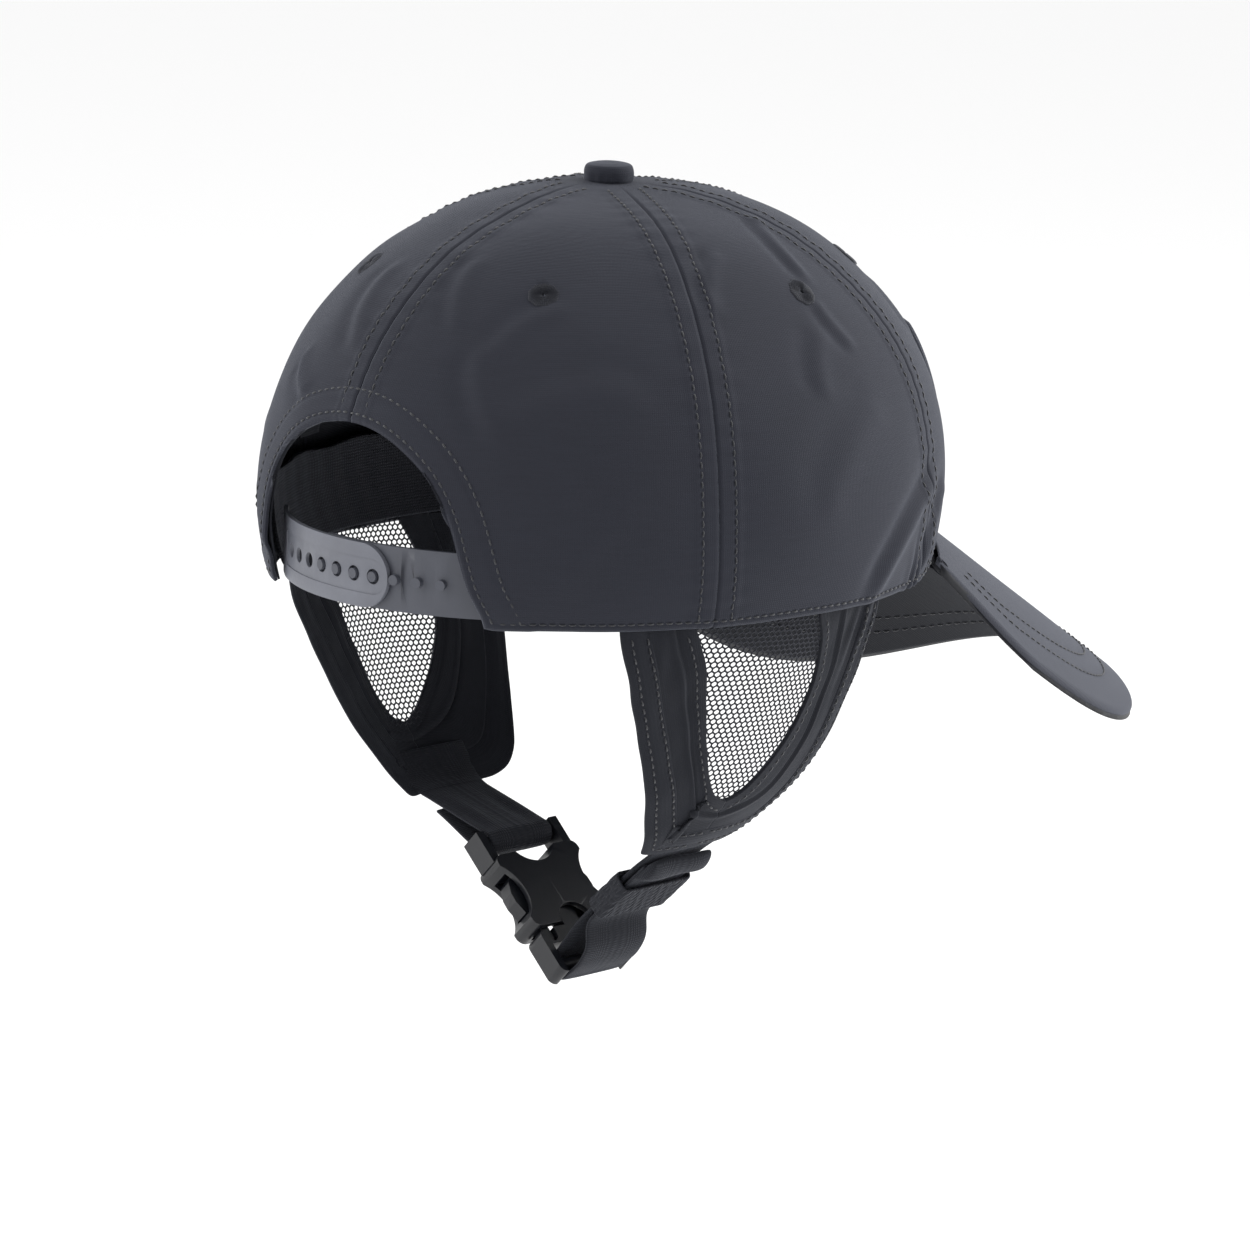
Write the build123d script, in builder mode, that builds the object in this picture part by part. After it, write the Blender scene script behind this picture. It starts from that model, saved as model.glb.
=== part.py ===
from build123d import *
import math
import os

# ---------------------------------------------------------------- driving dimensions (mm)
# Frame: origin at the centre of the head opening, in the rim plane. +Z is up, the bill points
# along -Y, and the wearer's right is -X.
CROWN_LENGTH = 208.0        # widest outside length of the crown, front to back
CROWN_WIDTH = 181.5         # widest outside width of the crown
CROWN_HEIGHT = 111.0        # rim plane to the top of the crown
BELLY_HEIGHT = 23.5         # height at which the crown is widest
RIM_TAPER = 0.04            # how much the rim draws in below the belly
DOME_POWER = 2.12           # squareness of the dome's profile
CLOTH = 1.0                 # crown cloth with its lining
SEAM_ANGLES = (0, 60, 112, 180, 248, 300)   # seams, counted from the front over the wearer's right
APEX_HOLE = 3.0             # radius left open under the button

ARCH = [(42.5, -1.0), (42.3, 3.0), (40.6, 10.0), (38.5, 21.0), (36.3, 29.0), (33.5, 35.0),
        (28.5, 41.5), (21.5, 47.0), (11.5, 51.6), (0.0, 53.2)]  # half of the rear opening (x, z)

BILL_ARCH_RIGHT = 7.0e-3    # arch of the bill: drop per square of the distance from its middle
BILL_ARCH_LEFT = 7.9e-3     # the soft bill is bent a little more on its left half
BILL_DROOP = 0.647          # slope of the bill's middle line, mm down per mm forward
BILL_ROOT_HEIGHT = 13.0     # height of the bill's middle where it meets the crown
BILL_HALF_WIDTH = 77.0
BILL_REACH = 189.0          # how far the front edge lies ahead of the origin
BILL_CORNER = 100.7         # how far ahead of the origin the bill is widest
BILL_POWER = 2.45           # squareness of the bill's outline
BILL_ROOT_REACH = 0.99      # the bill's root lies just outside the rim
BILL_ROOT_ANGLE = 45.0      # the bill is sewn to the rim between +-45 degrees
BOARD = 1.9                 # bill board
BILL_CLOTH = 0.6            # bill cover cloth

BUTTON_RADIUS = 7.0
BUTTON_HEIGHT = 5.2
EYELET_RADIUS = 4.3
EYELETS = [(31, 88.0), (81.5, 86.2), (146, 89.3), (214, 89.3), (278.5, 86.2), (329, 88.0)]

SNAP_RADIUS = 70.0          # outer face of the hole strap
SNAP_CENTRE_Y = 28.0
SNAP_THICK = 1.3
SNAP_GAP = 0.35
SNAP_LOW, SNAP_HIGH = 2.0, 20.0
SNAP_PITCH = 5.95           # degrees between two holes
SNAP_FIRST = -6.8           # angle of the hole next to the rounded end
SNAP_HOLE = 2.15
SNAP_PEG = 1.45
SNAP_HINGE = 37.0           # angle of the sewn end of the hole strap

WEB = 24.0                  # width of the chin webbing
WEB_THICK = 1.7
WEB_Y = 13.5                # the chin webbing runs in the plane y = WEB_Y
PIVOT = (-91.0, 0.0)        # (x, z) of the hinge line of the right flap

BUCKLE_BAR = (20.5, -81.0)  # (x, z) of the bar of the female half
BUCKLE_SLOPE = 44.0         # degrees below the horizontal, towards the wearer's right
MALE_BAR = 43.5             # distance from the female bar to the male bar

os.makedirs("parts", exist_ok=True)
A = CROWN_LENGTH / 2
B = CROWN_WIDTH / 2


# ---------------------------------------------------------------- shared curves
def crown_radius(z):
    """Radius of the round crown before it is narrowed to its oval."""
    if z < BELLY_HEIGHT:
        return A * (1 - RIM_TAPER * ((BELLY_HEIGHT - z) / BELLY_HEIGHT) ** 2)
    rise = min((z - BELLY_HEIGHT) / (CROWN_HEIGHT - BELLY_HEIGHT), 1.0)
    return A * (1 - rise ** DOME_POWER) ** (1 / DOME_POWER)


def crown_profile(depth, low, high):
    """Points (r, z) at a constant depth under the crown's outer face, from height low to high."""
    raw = []
    for i in range(241):
        if i < 60:
            raw.append((crown_radius(BELLY_HEIGHT * i / 60), BELLY_HEIGHT * i / 60))
        else:
            s = math.pi / 2 * (i - 60) / 180
            rise = math.sin(s)
            z = BELLY_HEIGHT + (CROWN_HEIGHT - BELLY_HEIGHT) * rise
            raw.append((crown_radius(z) if i < 240 else 0.0, z))
    moved = []
    for i in range(len(raw)):
        r0, z0 = raw[max(i - 1, 0)]
        r1, z1 = raw[min(i + 1, len(raw) - 1)]
        size = math.hypot(r1 - r0, z1 - z0)
        moved.append((raw[i][0] - depth * (z1 - z0) / size, raw[i][1] + depth * (r1 - r0) / size))
    kept = [p for p in moved if low <= p[1] <= high and p[0] >= APEX_HOLE]
    step = max(len(kept) // 16, 1)
    points = kept[:-1:step]
    if math.dist(points[-1], kept[-1]) < 4:
        points.pop()
    return points + [kept[-1]]


def layer(outer, inner, low=-5.0, high=200.0):
    """An oval shell between two depths under the crown's outer face."""
    out = crown_profile(outer, low, high)
    inn = crown_profile(inner, low, high)
    with BuildPart() as shell:
        with BuildSketch(Plane.XZ):
            with BuildLine():
                top = Spline(*out)
                under = Spline(*inn)
                Line(top @ 0, under @ 0)
                Line(top @ 1, under @ 1)
            make_face()
        revolve(axis=Axis.Z)
    return scale(shell.part, by=(B / A, 1, 1))


def rim_point(angle, reach=1.0):
    """Plan point of the oval at an angle counted from the front over the wearer's right."""
    t = math.radians(angle)
    return (-B * reach * math.sin(t), -A * reach * math.cos(t))


def sector(start, end):
    """A tall wedge from the crown's axis, between two angles."""
    steps = max(int((end - start) / 15), 2)
    fan = [rim_point(start + (end - start) * i / steps, 1.6) for i in range(steps + 1)]
    with BuildPart() as wedge:
        with BuildSketch(Plane.XY.offset(-40)):
            with BuildLine():
                Polyline((0, 0), *fan, close=True)
            make_face()
        extrude(amount=200)
    return wedge.part


def arch_block(grow):
    """A block that fills the rear opening, grown outwards by a margin, for cutting."""
    side = []
    for i, (x, z) in enumerate(ARCH):
        ahead = ARCH[min(i + 1, len(ARCH) - 1)]
        back = ARCH[max(i - 1, 0)]
        dx, dz = ahead[0] - back[0], ahead[1] - back[1]
        size = math.hypot(dx, dz)
        if i == len(ARCH) - 1:
            side.append((0.0, z + grow))
        else:
            side.append((x + grow * dz / size, z - grow * dx / size))
    outline = side + [(-x, z) for x, z in reversed(side[:-1])]
    with BuildPart() as block:
        with BuildSketch(Plane.XZ):
            with BuildLine():
                curve = Spline(*outline)
                Polyline(curve @ 0, (outline[0][0], -30), (outline[-1][0], -30), curve @ 1)
            make_face()
        extrude(amount=-160)
    return block.part


def bill_height(x, y):
    """Height of the bill's top face: an arch across and a straight droop forwards."""
    arch = BILL_ARCH_RIGHT if x < 0 else BILL_ARCH_LEFT
    return BILL_ROOT_HEIGHT - arch * x * x - BILL_DROOP * (-y - 0.96 * A)


def front_block(lift, low=-60.0):
    """A block under the arched front of the rim, raised by a margin, for cutting."""
    points = []
    for i in range(-9, 10):
        x, y = rim_point(-i * 5)
        points.append((x * 0.96, bill_height(x * 0.96, y * 0.96) - 2.8 + lift))
    left = points[0][0] - 5.0
    with BuildPart() as block:
        with BuildSketch(Plane.XZ):
            with BuildLine():
                curve = Spline(*points)
                Polyline(curve @ 0, (left, lift), (left, low), (-left, low), (-left, lift), curve @ 1)
            make_face()
        extrude(amount=160)
    return block.part


def grow_x(outline, low=-140.0, high=0.0):
    """A prism along X from an outline of (y, z) points."""
    with BuildPart() as prism:
        with BuildSketch(Plane.YZ.offset(low)):
            with BuildLine():
                Polyline(*outline, close=True)
            make_face()
        extrude(amount=high - low)
    return prism.part


def ribbon(path, thick, y_low, width):
    """Webbing: a strip of constant thickness along a path of (x, z) points, extruded along Y."""
    left, right = [], []
    for i, (x, z) in enumerate(path):
        x0, z0 = path[max(i - 1, 0)]
        x1, z1 = path[min(i + 1, len(path) - 1)]
        size = math.hypot(x1 - x0, z1 - z0)
        nx, nz = -(z1 - z0) / size * thick / 2, (x1 - x0) / size * thick / 2
        left.append((x + nx, z + nz))
        right.append((x - nx, z - nz))
    with BuildPart() as strip:
        with BuildSketch(Plane.XZ.offset(-y_low)):
            with BuildLine():
                one = Spline(*left)
                two = Spline(*right)
                Line(one @ 0, two @ 0)
                Line(one @ 1, two @ 1)
            make_face()
        extrude(amount=-width)
    return strip.part


def save(piece, name):
    """Labels a finished piece and writes it to the parts folder."""
    piece.label = name
    export_step(piece, "parts/" + name + ".step")


# ---------------------------------------------------------------- crown panels
# Six sewn panels; the eyelet holes, the rear opening and the arched front rim are cut out.
with BuildPart() as eyelet_holes:
    for angle, height in EYELETS:
        px, py = rim_point(angle, crown_radius(height) / A)
        normal = Vector(px / B ** 2, py / A ** 2, 0.75 * height / CROWN_HEIGHT ** 2)
        with Locations(Plane(origin=(px, py, height), z_dir=normal)):
            Cylinder(EYELET_RADIUS + 0.1, 12)

shell = layer(0, CLOTH) - arch_block(0) - front_block(0) - eyelet_holes.part
PANELS = ["crown_panel_front_right", "crown_panel_side_right", "crown_panel_rear_right",
          "crown_panel_rear_left", "crown_panel_side_left", "crown_panel_front_left"]
for index, name in enumerate(PANELS):
    end = SEAM_ANGLES[index + 1] if index < 5 else 360
    save(shell & sector(SEAM_ANGLES[index], end), name)

# Embroidered vent eyelets: one ring in each panel.
with BuildPart() as eyelets:
    for angle, height in EYELETS:
        px, py = rim_point(angle, crown_radius(height) / A)
        normal = Vector(px / B ** 2, py / A ** 2, 0.75 * height / CROWN_HEIGHT ** 2)
        with Locations(Plane(origin=(px, py, height), z_dir=normal).offset(-0.45)):
            Cylinder(EYELET_RADIUS, 1.6)
            Cylinder(1.0, 4, mode=Mode.SUBTRACT)
eyelets.part.label = "eyelets"
export_step(eyelets.part, "parts/eyelets.step")

# Seam tapes: cloth strips that cover each seam inside the crown, above the sweatband.
tape_shell = layer(1.3, 1.9, 30.0, 200.0)
TAPES = ["seam_tape_front", "seam_tape_front_right", "seam_tape_rear_right",
         "seam_tape_rear", "seam_tape_rear_left", "seam_tape_front_left"]
for angle, name in zip(SEAM_ANGLES, TAPES):
    px, py = rim_point(angle)
    foot = 63.0 if angle == 180 else 31.0
    with BuildPart() as strip:
        with Locations(Location((0, 0, foot), (0, 0, math.degrees(math.atan2(py, px))))):
            Box(150, 12, 100, align=(Align.MIN, Align.CENTER, Align.MIN))
        with Locations((0, 0, 60)):
            Cylinder(13.5, 120, mode=Mode.SUBTRACT)
    save(tape_shell & strip.part, name)

# ---------------------------------------------------------------- button
# A cloth-covered dome on top, held by a rivet through the crown.
with BuildPart() as button_shell:
    with BuildSketch(Plane.XZ):
        with BuildLine():
            Polyline((2.6, CROWN_HEIGHT + 0.1), (6.4, CROWN_HEIGHT + 0.1), (7.0, CROWN_HEIGHT + 0.9),
                     (7.0, CROWN_HEIGHT + 3.6))
            Spline((7.0, CROWN_HEIGHT + 3.6), (6.3, CROWN_HEIGHT + 4.7), (4.0, CROWN_HEIGHT + BUTTON_HEIGHT),
                   (0.0, CROWN_HEIGHT + BUTTON_HEIGHT + 0.2))
            Polyline((0.0, CROWN_HEIGHT + BUTTON_HEIGHT + 0.2), (0.0, CROWN_HEIGHT + 3.0),
                     (2.6, CROWN_HEIGHT + 3.0), (2.6, CROWN_HEIGHT + 0.1))
        make_face()
    revolve(axis=Axis.Z)
button_shell.part.label = "button_shell"
export_step(button_shell.part, "parts/button_shell.step")

with BuildPart() as button_rivet:
    with Locations((0, 0, CROWN_HEIGHT - 3.2)):
        Cylinder(2.4, 5.9, align=(Align.CENTER, Align.CENTER, Align.MIN))
        Cylinder(6.0, 0.8, align=(Align.CENTER, Align.CENTER, Align.MIN))
button_rivet.part.label = "button_rivet"
export_step(button_rivet.part, "parts/button_rivet.step")

# ---------------------------------------------------------------- bands inside the rim
# Sweatband: an open loop of soft cloth all round the rim but for the rear opening.
with BuildPart() as band_zone:
    with BuildSketch(Plane.XY.offset(1.0)):
        Rectangle(260, 130, align=(Align.CENTER, Align.MIN))
    extrude(amount=27)
front_top = []
for i in range(-9, 10):
    px, py = rim_point(-i * 5)
    front_top.append((px * 0.96, bill_height(px * 0.96, py * 0.96) - 2.8 + 28))
with BuildPart() as front_zone:
    with BuildSketch(Plane.XZ):
        with BuildLine():
            curve = Spline(*front_top)
            edge = front_top[0][0] - 5.0
            Polyline(curve @ 0, (edge, 28), (-130, 28), (-130, 1), (130, 1), (130, 28), (-edge, 28), curve @ 1)
        make_face()
    extrude(amount=130)
band_zone_all = (front_zone.part - front_block(1.0)) + band_zone.part
sweatband = layer(3.2, 4.2, 0.5, 60.0) & band_zone_all & (sector(0, 141) + sector(219, 360))
save(sweatband, "sweatband")

# Facing: the doubled cloth strip round the rear opening.
facing = (layer(1.3, 1.9, 0.2, 70.0) & arch_block(9.0)) - arch_block(0.6)
save(facing & sector(120, 240), "arch_facing")

# Elastic in the hem at each temple, which gathers the cloth.
elastic_shell = layer(1.3, 2.2, 1.5, 9.0)
save(elastic_shell & sector(49, 66), "temple_elastic_right")
save(elastic_shell & sector(294, 311), "temple_elastic_left")

# Blank front patch on the two front panels.
with BuildPart() as patch_block:
    with BuildSketch(Plane.XZ):
        with Locations((0, 49)):
            RectangleRounded(98, 40, 6)
    extrude(amount=150)
front_patch = layer(-1.6, -0.15, 20.0, 90.0) & patch_block.part
save(front_patch, "front_patch")

# ---------------------------------------------------------------- bill
# A stiff board bent in one direction, between an upper and a lower cloth cover.
droop = math.atan(BILL_DROOP)
bill_plane = Plane(origin=(0, -20, bill_height(0, -20)), x_dir=(1, 0, 0),
                   z_dir=(0, -math.cos(droop), -math.sin(droop)))


def bill_slab(top, bottom):
    """The bill's bent surface as a slab between two depths under its top face."""
    edges = []
    for depth in (top, bottom):
        row = []
        for i in range(-12, 13):
            x = 100.0 * i / 12
            arch = BILL_ARCH_RIGHT if x < 0 else BILL_ARCH_LEFT
            bend = 2 * arch * math.cos(droop) * x
            size = math.hypot(bend, 1)
            row.append((x - depth * bend / size, -arch * math.cos(droop) * x * x - depth / size))
        edges.append(row)
    with BuildPart() as slab:
        with BuildSketch(bill_plane):
            with BuildLine():
                one = Spline(*edges[0])
                two = Spline(*edges[1])
                Line(one @ 0, two @ 0)
                Line(one @ 1, two @ 1)
            make_face()
        extrude(amount=330)
    return slab.part


def bill_outline(inset):
    """A prism through the bill's outline, with its inner edge just outside the crown."""
    reach = BILL_REACH - BILL_CORNER
    outer = []
    for i in range(0, 25):
        s = math.pi * (i / 24 - 0.5)
        x = (BILL_HALF_WIDTH - inset) * math.copysign(abs(math.sin(s)) ** (2 / BILL_POWER), math.sin(s))
        outer.append((x, -(BILL_CORNER + (reach - inset) * abs(math.cos(s)) ** (2 / BILL_POWER))))
    root = []
    for i in range(-9, 10):
        px, py = rim_point(-i * BILL_ROOT_ANGLE / 9, BILL_ROOT_REACH)
        root.append((px, py - 0.2 - inset * 0.4))
    with BuildPart() as prism:
        with BuildSketch(Plane.XY.offset(-140)):
            with BuildLine():
                inner = Spline(*reversed(root))
                front = Spline(*outer)
                right = (-(BILL_HALF_WIDTH - 5.2 - inset), -86.0)
                left = (BILL_HALF_WIDTH - 5.2 - inset, -86.0)
                Spline(inner @ 1, right, front @ 0)
                Spline(inner @ 0, left, front @ 1)
            make_face()
        extrude(amount=220)
    return prism.part


cover_zone = bill_outline(0.0)
save(bill_slab(0.0, BILL_CLOTH) & cover_zone, "bill_top_cover")
save(bill_slab(BILL_CLOTH, BILL_CLOTH + BOARD) & bill_outline(1.2), "bill_board")
save(bill_slab(BILL_CLOTH + BOARD, 2 * BILL_CLOTH + BOARD) & cover_zone, "bill_under_cover")


# ---------------------------------------------------------------- flaps
# Each ear flap is a curved cloth skin that hangs from the hem and leans in towards the chin.
# Rows of (height, half-width, half-length, forward shift, rearmost y, foremost y) of the skin.
FLAP_ROWS = [(4, 86.4, 99.0, 0, 76, -40), (-8, 83.0, 101, 1.5, 68, -38), (-16, 80.2, 102, 3, 64, -37),
             (-24, 77.4, 98, 3.5, 60, -36), (-32, 74.7, 93, 4.5, 56, -35), (-40, 72.2, 85, 6, 53, -34),
             (-48, 69.4, 75, 7.5, 50, -32), (-56, 65.4, 63, 9, 46, -29), (-64, 59.3, 54, 11, 43, -25),
             (-72, 50.0, 52, 12.5, 38, -20), (-80, 40.0, 60, 14, 34, -12)]
FLAP_REAR = [(59.8, -0.3), (58.4, -8.0), (55.4, -17.0), (49.8, -30.7), (45.2, -41.2), (41.4, -49.5),
             (37.8, -56.7), (33.9, -63.9), (29.5, -71.5)]
FLAP_FRONT = [(1.0, -71.0), (-5.0, -70.2), (-10.5, -68.0), (-14.8, -64.4), (-18.8, -58.9), (-22.6, -51.5),
              (-25.9, -42.0), (-28.3, -29.4), (-29.4, -15.4), (-28.8, -0.3)]
MESH_EDGE = [(40.7, -0.3), (37.3, -8.0), (34.6, -15.7), (32.4, -23.3), (30.3, -30.4), (28.2, -36.8),
             (25.9, -42.9), (23.2, -48.4), (19.6, -52.8), (15.4, -54.6), (11.0, -53.0), (6.4, -49.2),
             (1.8, -44.0), (-2.4, -37.6), (-5.4, -30.8), (-6.8, -23.6), (-6.4, -16.0), (-4.3, -7.9), (-0.9, -0.3)]
FLAP_THICK = 2.4


def skin(depth, thick):
    """The right flap's curved skin as a solid, at a depth inwards from its outer face."""
    grid = []
    for z, half_width, half_length, shift, rear, front in FLAP_ROWS:
        row = []
        for i in range(11):
            y = front + (rear - front) * i / 10
            row.append(Vector(-half_width * math.sqrt(1 - ((y - shift) / half_length) ** 2) + depth, y, z))
        grid.append(row)
    face = Face.make_surface_from_array_of_points(grid, tol=0.02, min_deg=3, max_deg=3)
    return Solid.extrude(face, Vector(thick, 0, 0))


def region(rear, front):
    """A prism along X through a closed outline made of two smooth (y, z) edges."""
    with BuildPart() as prism:
        with BuildSketch(Plane.YZ.offset(-140)):
            with BuildLine():
                one = Spline(*rear)
                two = Spline(*front)
                Line(one @ 1, two @ 0)
                Line(two @ 1, one @ 0)
            make_face()
        extrude(amount=140)
    return prism.part


def mirrored(piece):
    """The same piece on the wearer's left."""
    return mirror(piece, about=Plane.YZ)


def inset_edge(points, amount, side):
    """An edge of (y, z) points moved sideways by a constant amount."""
    moved = []
    for i, (y, z) in enumerate(points):
        y0, z0 = points[max(i - 1, 0)]
        y1, z1 = points[min(i + 1, len(points) - 1)]
        size = math.hypot(y1 - y0, z1 - z0)
        moved.append((y + side * amount * (z1 - z0) / size, z - side * amount * (y1 - y0) / size))
    moved[0] = (moved[0][0], points[0][1])
    moved[-1] = (moved[-1][0], points[-1][1])
    return moved


rear_inner = inset_edge(FLAP_REAR, 7.5, 1)
front_inner = inset_edge(FLAP_FRONT, 7.5, 1)
front_inner[0] = (1.0, -63.5)
front_inner = front_inner[0:1] + front_inner[2:]
with BuildPart() as mesh_zone:
    with BuildSketch(Plane.YZ.offset(-140)):
        with BuildLine():
            curve = Spline(*MESH_EDGE)
            Line(curve @ 1, curve @ 0)
        make_face()
    extrude(amount=140)

whole = region(FLAP_REAR, FLAP_FRONT)
inside = region(rear_inner, front_inner)
rear_half = grow_x([(15.0, 5), (15.0, -90), (90, -90), (90, 5)])
front_half = grow_x([(15.0, 5), (15.0, -90), (-60, -90), (-60, 5)])
binding = skin(0.0, FLAP_THICK) & (whole - inside)
panel = skin(0.4, FLAP_THICK - 0.8) & (inside - mesh_zone.part)
flap_right = {
    "flap_binding_rear": binding & rear_half,
    "flap_binding_front": binding & front_half,
    "flap_panel_rear": panel & rear_half,
    "flap_panel_front": panel & front_half,
    "flap_mesh": skin(0.9, 0.6) & mesh_zone.part,
}
for name, piece in flap_right.items():
    save(piece, name + "_right")
    save(mirrored(piece), name + "_left")

# The flaps' sewn allowance, fixed between the crown and the sweatband.
hem_shell = layer(1.35, 2.9, 0.1, 9.0)
save(hem_shell & sector(67.5, 131.5), "flap_hem_right")
save(hem_shell & sector(228.5, 292.5), "flap_hem_left")

# ---------------------------------------------------------------- chin straps
slope = math.radians(BUCKLE_SLOPE)
AXIS = (-math.cos(slope), -math.sin(slope))       # along the closed buckle, towards the male half
OUT = (math.sin(slope), -math.cos(slope))         # out of the buckle's outer face


def at_buckle(u, w):
    """(x, z) of a point given along the buckle's axis and out of its face."""
    return (BUCKLE_BAR[0] + u * AXIS[0] + w * OUT[0], BUCKLE_BAR[1] + u * AXIS[1] + w * OUT[1])


def along(points, spacing=2.0):
    """The same path with extra points, so that straight runs stay straight."""
    dense = [points[0]]
    for start, stop in zip(points, points[1:]):
        parts = max(int(math.dist(start, stop) / spacing), 1)
        for i in range(1, parts + 1):
            dense.append((start[0] + (stop[0] - start[0]) * i / parts,
                          start[1] + (stop[1] - start[1]) * i / parts))
    return dense


def smooth(points, passes=6):
    """Rounds the corners of a dense path, keeping its ends."""
    for _ in range(passes):
        points = ([points[0]] + [((a[0] + 2 * b[0] + c[0]) / 4, (a[1] + 2 * b[1] + c[1]) / 4)
                                 for a, b, c in zip(points, points[1:], points[2:])] + [points[-1]])
    return points


def arc(centre, radius, start, end, steps=14):
    """Points of an arc in the XZ plane, angles in degrees from +X towards +Z."""
    return [(centre[0] + radius * math.cos(math.radians(start + (end - start) * i / steps)),
             centre[1] + radius * math.sin(math.radians(start + (end - start) * i / steps)))
            for i in range(steps + 1)]


# Right webbing: sewn inside the flap's tip, down through the keeper, round the male bar, back
# through the keeper, and folded over at its end.
KEEPER = (-30.2, -85.7)                            # main ply at the middle of the keeper
run = (0.7408, -0.6717)                            # direction of the webbing through the keeper
side = (-0.6717, -0.7408)                          # from the main ply to the return ply
PLY = WEB_THICK + 0.4                              # from one ply to the other
male_bar = at_buckle(MALE_BAR, 0)
loop = 3.4
lead = math.degrees(math.atan2(KEEPER[1] + 14 * run[1] - male_bar[1], KEEPER[0] + 14 * run[0] - male_bar[0]))


def keeper_point(s, t):
    """(x, z) of a point given along the keeper's run and out towards the return ply."""
    return (KEEPER[0] + s * run[0] + t * side[0], KEEPER[1] + s * run[1] + t * side[1])


down = smooth(along([(-53.6, -57.5), (-50.7, -64.0), (-44.6, -70.6), keeper_point(-13, 0), keeper_point(14, 0),
                     *arc(male_bar, loop, lead - 90, lead - 96, 1)]), 4)
around = arc(male_bar, loop, lead - 96, lead - 264, 16)
bulge = [(-18.5, -109.5), (-22.3, -103.5)]
back = smooth(along([around[-1], *bulge, keeper_point(14, PLY), keeper_point(-17, PLY)]), 4)
webbing = ribbon(down[:-1] + around + back[1:], WEB_THICK, WEB_Y - WEB / 2, WEB)
fold = ribbon(along([keeper_point(-17.4, PLY + WEB_THICK), keeper_point(-11.6, PLY + WEB_THICK)]),
              WEB_THICK + 0.1, WEB_Y - WEB / 2, WEB)
chin_right = webbing + fold
save(chin_right, "chin_strap_right")

# Left webbing: from the left flap's tip, round the female bar and sewn back on itself.
lead_left = math.degrees(math.atan2(-72.5 + 81.0, 45.0 - 20.5))
ring = 3.3
around_left = arc(BUCKLE_BAR, ring, lead_left + 96, lead_left + 264, 16)
down_left = smooth(along([(53.6, -57.5), (50.7, -64.0), (45.6, -69.6), (40.0, -72.4), around_left[0]]), 4)
back_left = smooth(along([around_left[-1], (29.5, -80.2), (36.5, -76.6), (40.5, -74.8)]), 3)
with BuildPart() as tack:
    with BuildSketch(Plane.XZ.offset(-(WEB_Y - WEB / 2 + 1))):
        with Locations((37.2, -75.1)):
            Rectangle(4.0, 1.8, rotation=24)
    extrude(amount=-(WEB - 2))
chin_left = ribbon(down_left + around_left[1:] + back_left[1:], WEB_THICK, WEB_Y - WEB / 2, WEB) + tack.part
save(chin_left, "chin_strap_left")

# Keeper: a loop of ribbed elastic that slides on the two plies.
mid = keeper_point(0, PLY / 2)
keeper_plane = Plane(origin=(mid[0], WEB_Y, mid[1]), x_dir=(0, 1, 0), z_dir=(run[0], 0, run[1]))
with BuildPart() as keeper:
    with BuildSketch(keeper_plane.offset(-7.5)):
        RectangleRounded(WEB + 3.2, 2 * WEB_THICK + 0.4 + 3.2, 2.2)
        RectangleRounded(WEB + 0.8, 2 * WEB_THICK + 0.4 + 0.8, 0.5, mode=Mode.SUBTRACT)
    extrude(amount=15)
save(keeper.part, "strap_keeper")

# ---------------------------------------------------------------- buckle
# Local axes of the buckle: x along it from the female bar, y across it, z out of its outer face.
buckle_plane = Plane(origin=(BUCKLE_BAR[0], WEB_Y, BUCKLE_BAR[1]), x_dir=(AXIS[0], 0, AXIS[1]),
                     z_dir=(OUT[0], 0, OUT[1]))
HALF = 16.0                                        # half the buckle's width
PLATE = 4.9                                        # half the housing's thickness
CAVITY = 3.05                                      # half the height of the housing's inside
ARM_ROOT = (35.0, 11.0)                            # hinge point of a release arm

# Female half: a flat housing with a bar for the webbing, finger windows at both sides and a
# rounded notch in its mouth.
with BuildPart(buckle_plane) as buckle_female:
    with BuildSketch(buckle_plane):
        with Locations((19.5, 0)):
            RectangleRounded(25.0, 2 * HALF, 2.6)
    extrude(amount=PLATE, both=True)
    with Locations((3.0, HALF - 1.5, 0), (3.0, -HALF + 1.5, 0)):
        Box(10.5, 3.0, 7.2)
    with Locations((23.85, 0, 0)):
        Box(23.3, 26.0, 2 * CAVITY, mode=Mode.SUBTRACT)
    with Locations((19.5, HALF + 8.0, 0), (19.5, -HALF - 8.0, 0)):
        Cylinder(12.0, 20, mode=Mode.SUBTRACT)
    with Locations((3.0, 0, 0)):
        Cylinder(8.4, 20, mode=Mode.SUBTRACT)
    with Locations((32.5, 0, 0)):
        Cylinder(6.0, 20, mode=Mode.SUBTRACT)
    with Locations((19.3, 0, 0)):
        Box(13.6, 2 * HALF + 4, 2 * CAVITY, mode=Mode.SUBTRACT)
    with Locations(Location((0, 0, 0), (90, 0, 0))):
        Cylinder(2.0, 2 * HALF - 2)
save(buckle_female.part, "buckle_female")

# Male half: a base with its bar and a middle guide tongue.
with BuildPart(buckle_plane) as buckle_male:
    with BuildSketch(buckle_plane):
        with Locations((39.9, 0)):
            RectangleRounded(14.6, 30.0, 2.4)
    extrude(amount=3.5, both=True)
    with Locations((43.2, 0, 0)):
        Box(11.0, 25.2, 8.0, mode=Mode.SUBTRACT)
    for v in (ARM_ROOT[1], -ARM_ROOT[1]):
        with Locations((ARM_ROOT[0], v, 0)):
            Cylinder(1.85, 8.0, mode=Mode.SUBTRACT)
        with Locations((33.0, v, 0)):
            Box(4.0, 4.0, 8.0, mode=Mode.SUBTRACT)
    with Locations((23.3, 0, 0)):
        Box(19.6, 6.4, 4.6)
    with Locations(Location((MALE_BAR, 0, 0), (90, 0, 0))):
        Cylinder(2.2, 27.0)
save(buckle_male.part, "buckle_male")

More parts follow.
